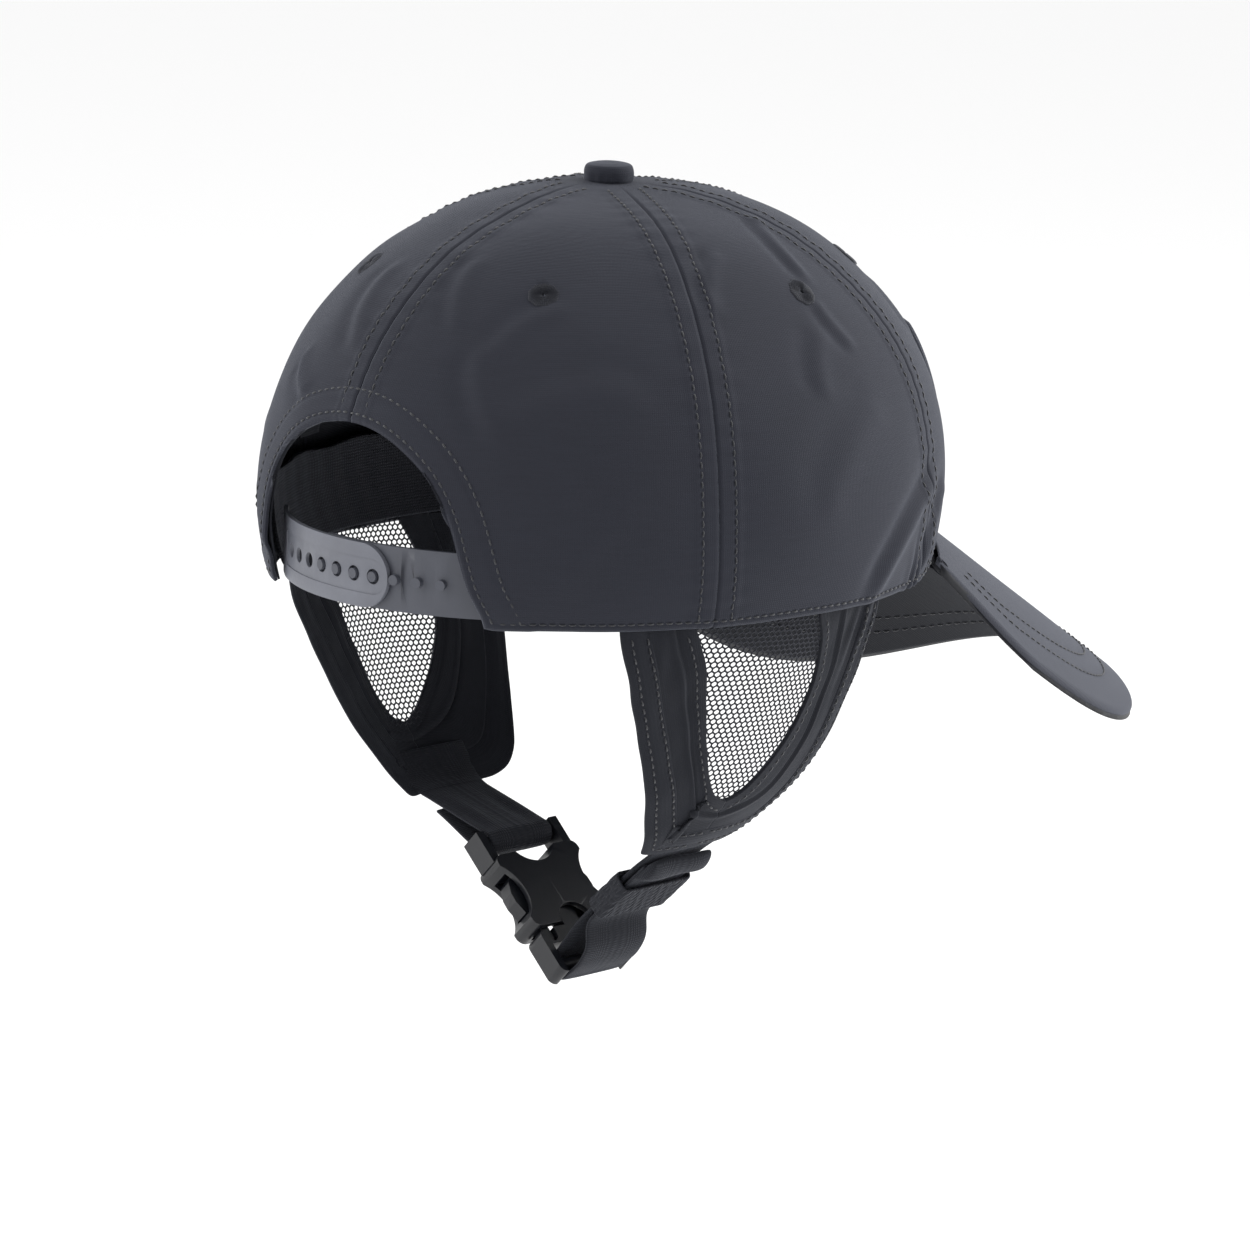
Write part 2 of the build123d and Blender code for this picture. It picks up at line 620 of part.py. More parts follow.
# Release arms: two springy prongs of the male half, each turning about its root.
ARM = [(35.0, 12.4), (25.9, 12.4), (25.7, 14.3), (21.5, 15.4), (18.5, 15.3), (15.0, 13.9),
       (13.2, 12.0), (13.4, 10.6), (20.0, 9.8), (35.0, 9.6)]
for name, hand in (("release_arm_rear", 1), ("release_arm_front", -1)):
    with BuildPart(buckle_plane) as arm:
        with BuildSketch(buckle_plane):
            with BuildLine():
                Polyline(*[(u, v * hand) for u, v in ARM], close=True)
            make_face()
            with Locations((ARM_ROOT[0], ARM_ROOT[1] * hand)):
                Circle(1.4)
        extrude(amount=2.3, both=True)
    save(arm.part, name)


# ---------------------------------------------------------------- rear size straps
# Two moulded straps across the rear opening: pegs on the right one, holes in the left one.
def snap_arc(outer, inner, start, end):
    """A curved strap between two radii and two angles, counted from the rear towards the left."""
    rows = []
    for radius in (outer, inner):
        rows.append([(radius * math.sin(math.radians(start + (end - start) * f)),
                      SNAP_CENTRE_Y + radius * math.cos(math.radians(start + (end - start) * f)))
                     for f in (0, 0.5, 1)])
    with BuildPart() as strap:
        with BuildSketch(Plane.XY.offset(SNAP_LOW)):
            with BuildLine():
                one = ThreePointArc(*rows[0])
                two = ThreePointArc(*rows[1])
                Line(one @ 0, two @ 0)
                Line(one @ 1, two @ 1)
            make_face()
        extrude(amount=SNAP_HIGH - SNAP_LOW)
    return strap.part


def snap_plane(angle, radius):
    """A plane on a strap at mid height, with its normal pointing out of the strap."""
    a = math.radians(angle)
    return Plane(origin=(radius * math.sin(a), SNAP_CENTRE_Y + radius * math.cos(a), (SNAP_LOW + SNAP_HIGH) / 2),
                 x_dir=(math.cos(a), -math.sin(a), 0), z_dir=(math.sin(a), math.cos(a), 0))


def round_end(angle, hand):
    """The waste outside a rounded strap end; hand is the side the end points to."""
    with BuildPart(snap_plane(angle, SNAP_RADIUS - 1)) as waste:
        with Locations((hand * 6.0, 0, 0)):
            Box(12.0, 19.0, 8.0)
        Cylinder((SNAP_HIGH - SNAP_LOW) / 2, 9.0, mode=Mode.SUBTRACT)
    return waste.part


inner_face = SNAP_RADIUS - SNAP_THICK
hinge_radius = SNAP_RADIUS - SNAP_THICK / 2
hole_strap = snap_arc(SNAP_RADIUS, inner_face, SNAP_FIRST - 4.4, SNAP_HINGE) - round_end(SNAP_FIRST + 3.0, -1)
channel = Solid.make_cylinder(5.0, 4.0, snap_plane(SNAP_FIRST, SNAP_RADIUS - 0.35))
channel_run = snap_arc(SNAP_RADIUS + 3, SNAP_RADIUS - 0.35, SNAP_FIRST, 33.0)
with BuildPart() as channel_height:
    with Locations((0, 80, (SNAP_LOW + SNAP_HIGH) / 2)):
        Box(120, 60, 10)
hole_strap = hole_strap - channel - (channel_run & channel_height.part)
for i in range(7):
    hole = Solid.make_cylinder(SNAP_HOLE, 8.0, snap_plane(SNAP_FIRST + i * SNAP_PITCH, SNAP_RADIUS - 4))
    hole_strap = hole_strap - hole
hinge_at = snap_plane(SNAP_HINGE, hinge_radius).origin
knuckle = Solid.make_cylinder(SNAP_THICK / 2, SNAP_HIGH - SNAP_LOW, Plane((hinge_at.X, hinge_at.Y, SNAP_LOW)))
save(hole_strap + knuckle, "snap_strap_left")
save(snap_arc(SNAP_RADIUS, inner_face, SNAP_HINGE + 1.0, 46.0), "snap_strap_tab")

peg_face = inner_face - SNAP_GAP
peg_strap = snap_arc(peg_face, peg_face - SNAP_THICK, -46.0, 16.5) - round_end(9.2, 1)
for i in range(-3, 4):
    peg = Solid.make_cylinder(SNAP_PEG, 2.4, snap_plane(SNAP_FIRST + i * SNAP_PITCH, peg_face - 0.5))
    peg_strap = peg_strap + peg
save(peg_strap, "snap_strap_right")
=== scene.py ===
import math
import bmesh
import bpy
import numpy as np
from mathutils import Matrix, Vector


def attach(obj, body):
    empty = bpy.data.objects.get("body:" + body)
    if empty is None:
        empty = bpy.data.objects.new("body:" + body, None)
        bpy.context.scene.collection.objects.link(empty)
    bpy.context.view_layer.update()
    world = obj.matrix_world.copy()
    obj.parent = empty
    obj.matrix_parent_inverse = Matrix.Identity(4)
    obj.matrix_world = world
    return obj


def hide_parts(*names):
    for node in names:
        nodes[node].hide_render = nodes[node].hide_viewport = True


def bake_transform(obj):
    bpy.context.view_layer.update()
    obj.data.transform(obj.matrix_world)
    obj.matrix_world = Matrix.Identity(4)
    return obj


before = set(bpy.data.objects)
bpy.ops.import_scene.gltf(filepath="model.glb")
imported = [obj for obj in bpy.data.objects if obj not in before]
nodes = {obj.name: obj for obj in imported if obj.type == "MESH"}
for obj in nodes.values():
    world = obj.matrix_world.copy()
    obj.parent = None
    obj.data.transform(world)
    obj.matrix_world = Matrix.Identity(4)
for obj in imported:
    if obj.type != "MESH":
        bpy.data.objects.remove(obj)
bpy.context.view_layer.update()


# ---------------------------------------------------------------- crown panels
# Six gores of thin brushed polyester with a dark lining, sewn edge to edge into a soft dome that is
# oval in plan. The rim is turned up and stitched once; at the back it is cut away in an arch, and at
# the front it rises over the root of the bill. All sizes are millimetres until a mesh is made.
HALF_LENGTH, HALF_WIDTH = 104.0, 90.75
CROWN_TOP, BELLY = 111.0, 23.5
SEAMS = (0, 60, 112, 180, 248, 300, 360)
CROWN_DYE = (0.0148, 0.0162, 0.0244)
LINING_DYE = (0.0060, 0.0070, 0.0115)
SLIM = HALF_WIDTH / HALF_LENGTH

# The dome's profile: a slight draw-in below the belly, a squarish quarter oval above it.
low_z = np.linspace(0, BELLY, 400)
rise = np.sin(np.linspace(0, np.pi / 2, 1600))
profile_z = np.concatenate([low_z, BELLY + (CROWN_TOP - BELLY) * rise[1:]])
profile_r = np.concatenate([HALF_LENGTH * (1 - 0.04 * ((BELLY - low_z) / BELLY) ** 2),
                            HALF_LENGTH * np.clip(1 - rise[1:] ** 2.12, 0, 1) ** (1 / 2.12)])
profile_run = np.concatenate([[0], np.cumsum(np.hypot(np.diff(profile_r), np.diff(profile_z)))])
profile_dr = np.gradient(profile_r, profile_run)
profile_dz = np.gradient(profile_z, profile_run)
TOP_RUN = profile_run[-1]


def run_at(height):
    """Distance along the dome's profile from the rim up to a height, read off the profile."""
    return np.interp(height, profile_z, profile_run)


def crown_skin(angle, run, lift=0.0):
    """Point and outward direction of the dome: the profile radius at that run, turned to the angle
    from the front over the wearer's right, narrowed sideways to the oval, then moved out along its
    normal by lift."""
    a, run = np.broadcast_arrays(np.radians(angle), run)
    r = np.interp(run, profile_run, profile_r)
    dr, dz = np.interp(run, profile_run, profile_dr), np.interp(run, profile_run, profile_dz)
    out = np.stack([-np.sin(a) * dz, -SLIM * np.cos(a) * dz, -SLIM * dr], -1)
    out = out / np.linalg.norm(out, axis=-1, keepdims=True)
    point = np.stack([-SLIM * r * np.sin(a), -r * np.cos(a), np.interp(run, profile_run, profile_z)], -1)
    return point + out * np.broadcast_to(lift, a.shape)[..., None], out


def mm_per_degree(angle, run):
    """Length of one degree round the oval at that place, from the oval's tangent."""
    a = np.radians(angle)
    return np.radians(1) * np.interp(run, profile_run, profile_r) * np.hypot(SLIM * np.cos(a), np.sin(a))


def swell(x, start, end):
    """Goes smoothly from 0 at start to 1 at end: three times the square less twice the cube."""
    t = np.clip((x - start) / (end - start), 0, 1)
    return t * t * (3 - 2 * t)


# Soft creases: from (angle, height) to (angle, height), half width and depth of each.
CREASES = [((66, 104), (79, 88), 2.4, 0.55), ((81, 84), (77, 70), 2.2, 0.42), ((84, 78), (90, 60), 3.6, 0.4),
           ((57, 36), (82, 3), 3.4, 0.9), ((50, 30), (62, 3), 3.0, 0.6), ((75, 60), (95, 30), 6.0, 0.35),
           ((100, 98), (109, 84), 2.6, 0.4), ((141, 88), (155, 74), 3.4, 0.4),
           ((122, 66), (150, 60), 5.5, 0.35),
           ((158, 76), (150, 52), 3.8, 0.55), ((170, 96), (164, 78), 3.0, 0.4),
           ((126, 40), (139, 12), 5.0, 0.35),
           ((200, 92), (188, 70), 3.4, 0.5), ((206, 66), (196, 56), 3.2, 0.6),
           ((214, 30), (205, 8), 4.0, 0.5),
           ((262, 92), (275, 70), 3.0, 0.45), ((283, 40), (268, 6), 4.6, 0.6),
           ((305, 30), (296, 4), 3.2, 0.7),
           ((322, 80), (338, 64), 4.4, 0.35), ((28, 82), (40, 66), 4.0, 0.35),
           ((236, 62), (224, 36), 5.0, 0.4)]


def cloth_lift(angle, run):
    """Height of the sewn cloth over the smooth dome: slow waves, a bell-shaped ridge beside a dip for
    each crease, a raised strip over each seam tape with a groove on the seam, and small puckers
    across the seams."""
    angle, run = np.broadcast_arrays(np.asarray(angle, float), np.asarray(run, float))
    point, _ = crown_skin(angle, run)
    lift = 0.48 * np.sin(point[..., 0] / 13 + point[..., 2] / 17) * np.sin(point[..., 1] / 19 + 1.3)
    lift += 0.28 * np.sin(point[..., 0] / 6.1 - point[..., 2] / 9 + 0.6) * np.sin(point[..., 1] / 8.7)
    for (a0, z0), (a1, z1), wide, deep in CREASES:
        start, end = crown_skin(a0, run_at(z0))[0], crown_skin(a1, run_at(z1))[0]
        way = end - start
        length = np.linalg.norm(way)
        across = np.cross(way / length, crown_skin((a0 + a1) / 2, run_at((z0 + z1) / 2))[1])
        t = (point - start) @ way / length ** 2
        q = (point - start) @ across + 0.1 * length * (2 * t - 1) ** 2
        near = np.exp(-(np.maximum(np.abs(t - 0.5) - 0.32, 0) / 0.13) ** 2)
        side = (point @ start > 0)
        lift += 1.5 * side * near * deep * (np.exp(-(q / wide) ** 2)
                                            - 0.8 * np.exp(-((q - 1.5 * wide) / wide) ** 2))
    radius = np.interp(run, profile_run, profile_r)
    calm = swell(radius, 6, 30)
    scale = mm_per_degree(angle, run)
    for seam in SEAMS:
        off = scale * (angle - seam)
        far = np.abs(off)
        lift += calm * (0.24 * (1 - swell(far, 5.6, 7.8)) - 0.55 * np.exp(-(off / 0.55) ** 2))
        lift -= calm * 0.2 * np.exp(-((far - 5.0) / 0.55) ** 2)
        pucker = np.sin(run / 1.15 + 9 * np.sin(run / 23 + seam))
        lift += calm * 0.16 * pucker * np.exp(-((far - 5.0) / 4.5) ** 2)
    from_front = np.minimum(angle, 360 - angle)
    gather = swell(from_front, 42, 47) * (1 - swell(from_front, 64, 69))
    lift += gather * 0.6 * np.sin(angle * 2.1 + 1.4 * np.sin(angle * 0.7)) * np.exp(-(run / 10) ** 2)
    return lift


def bill_height(x, y):
    """Height of the bill's top face: an even droop forwards less an arch that grows with the square
    of the distance from the middle, a little faster on the left."""
    return 13.0 - np.where(x < 0, 7.0e-3, 7.9e-3) * x * x - 0.647 * (-y - 0.96 * HALF_LENGTH)


def foot_run(angle):
    """Run at which the cloth ends: on the rim, or over the bill's root at the front."""
    turn = np.minimum(angle, 360 - np.asarray(angle, float))
    side = np.where(np.mod(angle, 360) > 180, -1, 1)
    plan, _ = crown_skin(side * np.minimum(turn, 45.0), 0.0)
    root = bill_height(plan[..., 0], plan[..., 1]) - 2.8
    return run_at(np.maximum(root, 0) * (1 - np.clip((turn - 45) / 4.2, 0, 1)))


def through(points, count):
    """A smooth line through points: cubic pieces whose slopes are the differences of their
    neighbours, then evenly spaced along the line."""
    points = np.asarray(points, float)
    knots = np.concatenate([[0], np.cumsum(np.linalg.norm(np.diff(points, axis=0), axis=1))])
    slopes = np.gradient(points, knots, axis=0)
    at = np.linspace(0, knots[-1], count * 6)
    i = np.clip(np.searchsorted(knots, at, side="right") - 1, 0, len(knots) - 2)
    step = (knots[i + 1] - knots[i])[:, None]
    t = (at - knots[i])[:, None] / step
    dense = ((2 * t ** 3 - 3 * t ** 2 + 1) * points[i] + (t ** 3 - 2 * t ** 2 + t) * step * slopes[i]
             + (3 * t ** 2 - 2 * t ** 3) * points[i + 1] + (t ** 3 - t ** 2) * step * slopes[i + 1])
    done = np.concatenate([[0], np.cumsum(np.linalg.norm(np.diff(dense, axis=0), axis=1))])
    even = np.linspace(0, done[-1], count)
    return np.stack([np.interp(even, done, dense[:, k]) for k in range(dense.shape[1])], 1)


ARCH = [(42.3, -0.2), (42.3, 3.0), (40.6, 10.0), (38.5, 21.0), (36.3, 29.0), (33.5, 35.0),
        (28.5, 41.5), (21.5, 47.0), (11.5, 51.6), (0.0, 53.2)]


def arch_line(grow, count=240):
    """(angle, run) along the rear opening, moved outwards by grow along the outline's normal."""
    half = np.array(ARCH)
    line = through(np.concatenate([half * (-1, 1), half[-2::-1]]), count)
    way = np.gradient(line, axis=0)
    way /= np.linalg.norm(way, axis=1, keepdims=True)
    line = line + grow * np.stack([-way[:, 1], way[:, 0]], 1)
    line = line[line[:, 1] >= 0]
    run = run_at(line[:, 1])
    x = line[:, 0] / (SLIM * np.interp(run, profile_run, profile_r))
    return 180 + np.degrees(np.arcsin(x)), run


def lay_grid(name, points, chart=None, closed=False, away_from=None, keep=None, skin=None):
    """A mesh of four-cornered faces over a grid of points, with the cloth's own map in metres. The
    faces turn away from away_from, or outwards by their enclosed volume; keep drops faces; closed
    joins the last column to the first."""
    rows, columns = points.shape[:2]
    ids = np.arange(rows * columns).reshape(rows, columns)
    if closed:
        ids = np.concatenate([ids, ids[:, :1]], 1)
    quads = np.stack([ids[:-1, :-1], ids[:-1, 1:], ids[1:, 1:], ids[1:, :-1]], -1).reshape(-1, 4)
    flat = points.reshape(-1, 3)
    p = flat[quads]
    facing = np.cross(p[:, 2] - p[:, 0], p[:, 3] - p[:, 1])
    middle = p.mean(1) - (np.zeros(3) if away_from is None else np.array(away_from, float))
    flip = (facing * middle).sum() < 0
    order = [0, 3, 2, 1] if flip else [0, 1, 2, 3]
    chosen = np.ones(len(quads), bool) if keep is None else keep[:-1, :-1].reshape(-1)
    quads = quads[chosen][:, order]
    mesh = bpy.data.meshes.new(name)
    mesh.vertices.add(len(flat))
    mesh.vertices.foreach_set("co", (flat * 0.001).ravel())
    mesh.loops.add(quads.size)
    mesh.loops.foreach_set("vertex_index", quads.ravel())
    mesh.polygons.add(len(quads))
    mesh.polygons.foreach_set("loop_start", np.arange(0, quads.size, 4))
    mesh.polygons.foreach_set("use_smooth", np.ones(len(quads), bool))
    if chart is not None:
        corners = np.stack([chart[:-1, :-1], chart[:-1, 1:], chart[1:, 1:], chart[1:, :-1]], 2)
        corners = corners.reshape(-1, 4, 2)
        layer = mesh.uv_layers.new(name="cloth_map")
        layer.data.foreach_set("uv", (corners[chosen][:, order] * 0.001).ravel())
    mesh.update(calc_edges=True)
    mesh.validate()
    piece = bpy.data.objects.new(name, mesh)
    bpy.context.scene.collection.objects.link(piece)
    if keep is not None:
        tidy_mesh(piece)
    if skin:
        mesh.materials.append(skin)
    return piece


def tidy_mesh(piece):
    """Merges points that lie together and drops points that no face uses."""
    work = bmesh.new()
    work.from_mesh(piece.data)
    bmesh.ops.delete(work, geom=[v for v in work.verts if not v.link_faces], context="VERTS")
    bmesh.ops.remove_doubles(work, verts=work.verts, dist=2e-6)
    work.to_mesh(piece.data)
    work.free()


def thicken(piece, thick, inside=None):
    """Gives a cloth skin its thickness inwards, with the lining on its inner face."""
    if inside:
        piece.data.materials.append(inside)
    wall = piece.modifiers.new("cloth_thickness", "SOLIDIFY")
    wall.thickness = thick * 0.001
    wall.offset = -1
    wall.use_even_offset = False
    wall.material_offset = 1 if inside else 0
    return piece


def node(tree, kind, **values):
    """One shader node; names ending in a number set that input, the others set the node's own
    settings."""
    made = tree.nodes.new("ShaderNode" + kind)
    for key, value in values.items():
        if key.startswith("in_"):
            socket = key[3:].replace("_", " ")
            made.inputs[int(socket) if socket.isdigit() else socket].default_value = value
        else:
            setattr(made, key, value)
    return made


def cloth_finish(name, dye, pitch=0.62, relief=0.00010, sheen=0.15, rough=0.82, streak=0.5, ribbed=0.0,
                 mottle=0.22):
    """Woven cloth on its own map: crossed waves for warp and weft, long thin noise for uneven yarn,
    slow noise for the dye. The waves and the long noise make the bump; only the slow and long noise
    change the colour."""
    finish = bpy.data.materials.new(name)
    finish.use_nodes = True
    tree = finish.node_tree
    surface = tree.nodes["Principled BSDF"]
    surface.inputs["Roughness"].default_value = rough
    surface.inputs["Specular IOR Level"].default_value = 0.28
    surface.inputs["Sheen Weight"].default_value = sheen
    surface.inputs["Sheen Roughness"].default_value = 0.45
    surface.inputs["Sheen Tint"].default_value = (0.75, 0.8, 0.95, 1)
    place = node(tree, "TexCoord")
    wave = 0.314 / (pitch * 0.001)
    warp = node(tree, "TexWave", bands_direction="X", in_Scale=wave, in_Distortion=2.4, in_Detail=1.5)
    weft = node(tree, "TexWave", bands_direction="DIAGONAL" if ribbed else "Y",
                in_Scale=wave * (0.62 if ribbed else 1),
                in_Distortion=2.4 if not ribbed else 0.5, in_Detail=1.5)
    weave = node(tree, "Math", operation="MULTIPLY" if not ribbed else "MAXIMUM")
    turn = node(tree, "Mapping", in_Scale=(90, 900, 1))
    slub = node(tree, "TexNoise", in_Scale=1.0, in_Detail=3.0)
    slow = node(tree, "TexNoise", in_Scale=34.0, in_Detail=4.0, in_Roughness=0.6)
    for piece in (warp, weft, turn):
        tree.links.new(place.outputs["UV"], piece.inputs["Vector"])
    tree.links.new(turn.outputs[0], slub.inputs["Vector"])
    tree.links.new(place.outputs["Object"], slow.inputs["Vector"])
    tree.links.new(warp.outputs["Fac"], weave.inputs[0])
    tree.links.new(weft.outputs["Fac"], weave.inputs[1])
    shade = node(tree, "MixRGB", blend_type="MIX", in_1=(*[c * (1 - mottle) for c in dye], 1),
                 in_2=(*[c * (1 + mottle) for c in dye], 1))
    mixed = node(tree, "Math", operation="MULTIPLY_ADD", in_1=streak)
    tree.links.new(slub.outputs["Fac"], mixed.inputs[0])
    half = node(tree, "Math", operation="MULTIPLY", in_1=1 - streak)
    tree.links.new(slow.outputs["Fac"], half.inputs[0])
    tree.links.new(half.outputs[0], mixed.inputs[2])
    tree.links.new(mixed.outputs[0], shade.inputs[0])
    tree.links.new(shade.outputs[0], surface.inputs["Base Color"])
    height = node(tree, "Math", operation="ADD")
    tree.links.new(weave.outputs[0], height.inputs[0])
    tree.links.new(slub.outputs["Fac"], height.inputs[1])
    bump = node(tree, "Bump", in_Strength=0.7, in_Distance=relief)
    tree.links.new(height.outputs[0], bump.inputs["Height"])
    tree.links.new(bump.outputs[0], surface.inputs["Normal"])
    return finish


crown_cloth = cloth_finish("brushed_crown_cloth", CROWN_DYE)
lining_cloth = cloth_finish("dark_lining", LINING_DYE, pitch=0.5, sheen=0.05)
EYELETS = [(31, 88.0), (81.5, 86.2), (146, 89.3), (214, 89.3), (278.5, 86.2), (329, 88.0)]
eyelet_middles = np.array([crown_skin(a, run_at(z))[0] for a, z in EYELETS])


def sew_panel(name, first, last):
    """One gore. Columns start evenly along its lower edge and end evenly between its seams at the
    top; rows follow the dome's profile. Columns crowd at the seams and rows at the lower edge."""
    rear = 112 <= first and last <= 248
    turned = rear and first == 180
    across = np.linspace(0, 1, 96)
    across = across - 0.72 * np.sin(2 * np.pi * across) / (2 * np.pi)
    upwards = np.linspace(0, 1, 150)
    upwards = upwards * (0.22 + 0.78 * upwards)
    if rear:
        arch_angle, arch_run = arch_line(0.0)
        half = arch_angle <= 180
        rim_angle = np.linspace(112, arch_angle[0], 90)[:-1]
        edge_angle = np.concatenate([rim_angle, arch_angle[half], [180.0]])
        edge_run = np.concatenate([0 * rim_angle, arch_run[half], [arch_run.max()]])
    else:
        edge_angle = np.linspace(first, last, 200)
        edge_run = foot_run(edge_angle)
    edge = crown_skin(edge_angle, edge_run)[0]
    along = np.concatenate([[0], np.cumsum(np.linalg.norm(np.diff(edge, axis=0), axis=1))])
    low_angle = np.interp(across * along[-1], along, edge_angle)
    low_run = np.interp(across * along[-1], along, edge_run)
    top_angle = (112 + 68 * across) if rear else low_angle
    v = upwards[:, None]
    angle = low_angle + (top_angle - low_angle) * np.sqrt(v)
    run = low_run + (TOP_RUN - 2.6 - low_run) * v
    edge = np.stack([np.interp(np.linspace(0, along[-1], 420), along, edge[:, k]) for k in range(3)], 1)
    point = crown_skin(angle, run)[0]
    gap = np.sqrt(((point[:60, :, None] - edge) ** 2).sum(-1).min(-1))
    gap = np.concatenate([gap, np.full((len(v) - 60, len(across)), 60.0)])
    nearest_arch = run - gap < 0.1 if not rear else (angle > edge_angle[88] - 8) & (gap < 14)
    dip = -0.45 * (1 - swell(gap, 0, 1.0)) - 0.22 * np.exp(-((gap - 2.3) / 0.6) ** 2)
    if rear:
        dip += nearest_arch * (0.3 * (1 - swell(gap, 8.6, 10.2)) - 0.22 * np.exp(-((gap - 8.6) / 0.6) ** 2))
    if turned:
        angle = 360 - angle
    lift = cloth_lift(angle, run) + dip
    point = crown_skin(angle, run, lift)[0]
    clear = np.sqrt(((point[:, :, None] - eyelet_middles) ** 2).sum(-1)).min(-1) > 2.2
    chart = np.stack([np.radians(angle) * 95.0, run], -1)
    panel = lay_grid(name, point, chart, away_from=(0, 0, 10), keep=clear, skin=crown_cloth)
    thicken(panel, 0.9, lining_cloth)
    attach(panel, "crown")
    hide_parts(name)
    return panel


sew_panel("crown_panel_front_right", 0, 60).name = "front_right_gore"
sew_panel("crown_panel_side_right", 60, 112).name = "side_right_gore"
sew_panel("crown_panel_rear_right", 112, 180).name = "rear_right_gore"
sew_panel("crown_panel_rear_left", 180, 248).name = "rear_left_gore"
sew_panel("crown_panel_side_left", 248, 300).name = "side_left_gore"
sew_panel("crown_panel_front_left", 300, 360).name = "front_left_gore"


# ---------------------------------------------------------------- crown stitching
# Lock stitches in dark polyester thread: one row each side of every seam, one round the rim, and
# two round the rear opening, where the outer one holds the facing.
thread = bpy.data.materials.new("dark_thread")
thread.use_nodes = True
thread_surface = thread.node_tree.nodes["Principled BSDF"]
thread_surface.inputs["Roughness"].default_value = 0.6
thread_surface.inputs["Sheen Weight"].default_value = 0.3
ply = node(thread.node_tree, "TexNoise", in_Scale=2600.0, in_Detail=2.0)
ply_place = node(thread.node_tree, "TexCoord")
ply_shade = node(thread.node_tree, "ValToRGB")
ply_shade.color_ramp.elements[0].color = (0.0055, 0.0062, 0.0095, 1)
ply_shade.color_ramp.elements[1].color = (0.0115, 0.0125, 0.0185, 1)
thread.node_tree.links.new(ply_place.outputs["Object"], ply.inputs["Vector"])
thread.node_tree.links.new(ply.outputs["Fac"], ply_shade.inputs[0])
thread.node_tree.links.new(ply_shade.outputs[0], thread_surface.inputs["Base Color"])


def sew_rows(name, rows, pitch=2.7, length=2.0, thick=0.27):
    """Stitches along lines of points with outward directions: five six-sided rings each, whose radius
    swells from nothing to the thread's and back, and which bow out of the cloth in the middle."""
    all_points = []
    for line, out in rows:
        way = np.concatenate([[0], np.cumsum(np.linalg.norm(np.diff(line, axis=0), axis=1))])
        middle = np.arange(pitch, way[-1] - pitch / 2, pitch)
        place = lambda s: np.stack([np.interp(s, way, line[:, k]) for k in range(3)], -1)
        up = np.stack([np.interp(middle, way, out[:, k]) for k in range(3)], -1)
        u = np.array([-1, -0.72, 0, 0.72, 1])
        centre = place(middle[:, None] + u * length / 2)
        ahead = place(middle + length / 2) - place(middle - length / 2)
        ahead /= np.linalg.norm(ahead, axis=1, keepdims=True)
        side = np.cross(ahead, up)
        side /= np.linalg.norm(side, axis=1, keepdims=True)
        round_ = np.linspace(0, 2 * np.pi, 7)[:-1]
        radius = thick * np.array([0.0, 0.8, 1.0, 0.8, 0.0])
        bow = thick * (0.75 - 1.25 * u ** 2)
        ring = (np.cos(round_)[None, :, None] * side[:, None, :]
                + np.sin(round_)[None, :, None] * up[:, None, :])
        points = (centre[:, :, None, :] + bow[None, :, None, None] * up[:, None, None, :]
                  + radius[None, :, None, None] * ring[:, None, :, :])
        all_points.append(points.reshape(-1, 6, 3))
    rings = np.concatenate(all_points)
    wrapped = np.ones((len(rings), 7), bool)
    wrapped[4::5] = False
    piece = lay_grid(name, rings, closed=True, keep=wrapped, skin=thread)
    work = bmesh.new()
    work.from_mesh(piece.data)
    bmesh.ops.dissolve_degenerate(work, dist=1e-6, edges=work.edges)
    bmesh.ops.recalc_face_normals(work, faces=work.faces)
    work.to_mesh(piece.data)
    work.free()
    return piece


crown_rows = []
for seam in SEAMS[:-1]:
    for hand in (-1, 1):
        start = 57.0 if seam == 180 else float(foot_run(seam)) + 1.0
        run = np.linspace(start, TOP_RUN - 13, 160)
        angle = seam + hand * 5.0 / mm_per_degree(seam, run)
        crown_rows.append(crown_skin(angle, run, cloth_lift(np.mod(angle, 360), run) + 0.12))
arch_angle, arch_run = arch_line(0.0)
rim = np.concatenate([np.linspace(arch_angle[-1] + 1, 360, 400), np.linspace(0, arch_angle[0] - 1, 400)])
hem_run = foot_run(rim) + 2.3
crown_rows.append(crown_skin(rim, hem_run, cloth_lift(rim, hem_run) - 0.05))
for grow in (2.3, 8.6):
    angle, run = arch_line(grow)
    crown_rows.append(crown_skin(angle, run, cloth_lift(angle, run) + (0.12 if grow < 5 else 0.02)))
stitching = sew_rows("crown_stitching", crown_rows)
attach(stitching, "crown")


# ---------------------------------------------------------------- vent eyelets
# Six round holes worked over with satin stitch: radial threads lie over a padded ring, so the rim
# of each is finely ridged.
around = np.linspace(0, 2 * np.pi, 169)[:-1][:, None]
over = np.linspace(0, np.pi, 13)[None, :]
rings = []
for angle, height in EYELETS:
    middle, out = crown_skin(angle, run_at(height), cloth_lift(angle, run_at(height)))
    across = np.cross((0, 0, 1), out)
    across /= np.linalg.norm(across)
    upward = np.cross(out, across)
    wide = 2.55 + 1.95 * np.cos(over) + 0.12 * np.sin(around * 9) * (np.cos(over) > 0.5)
    high = np.sin(over) * (0.5 + 0.16 * np.sin(around * 42)) - 0.12
    rings.append(middle + (wide * np.cos(around))[..., None] * across
                 + (wide * np.sin(around))[..., None] * upward
                 + (high + 0 * around)[..., None] * out)
eyelet_thread = cloth_finish("satin_stitch_thread", (0.0095, 0.0105, 0.0160), pitch=0.4, sheen=0.18,
                             rough=0.6)
grids = []
for middle, ring in zip(eyelet_middles, rings):
    ring = np.concatenate([ring, ring[:1]])
    ring_map = np.stack(np.broadcast_arrays(np.linspace(0, 18, 169)[:, None], over), -1)
    grids.append(lay_grid("satin_ring", ring, ring_map, away_from=middle * 0.93, skin=eyelet_thread))
work = bmesh.new()
for ring in grids:
    work.from_mesh(ring.data)
    bpy.data.objects.remove(ring)
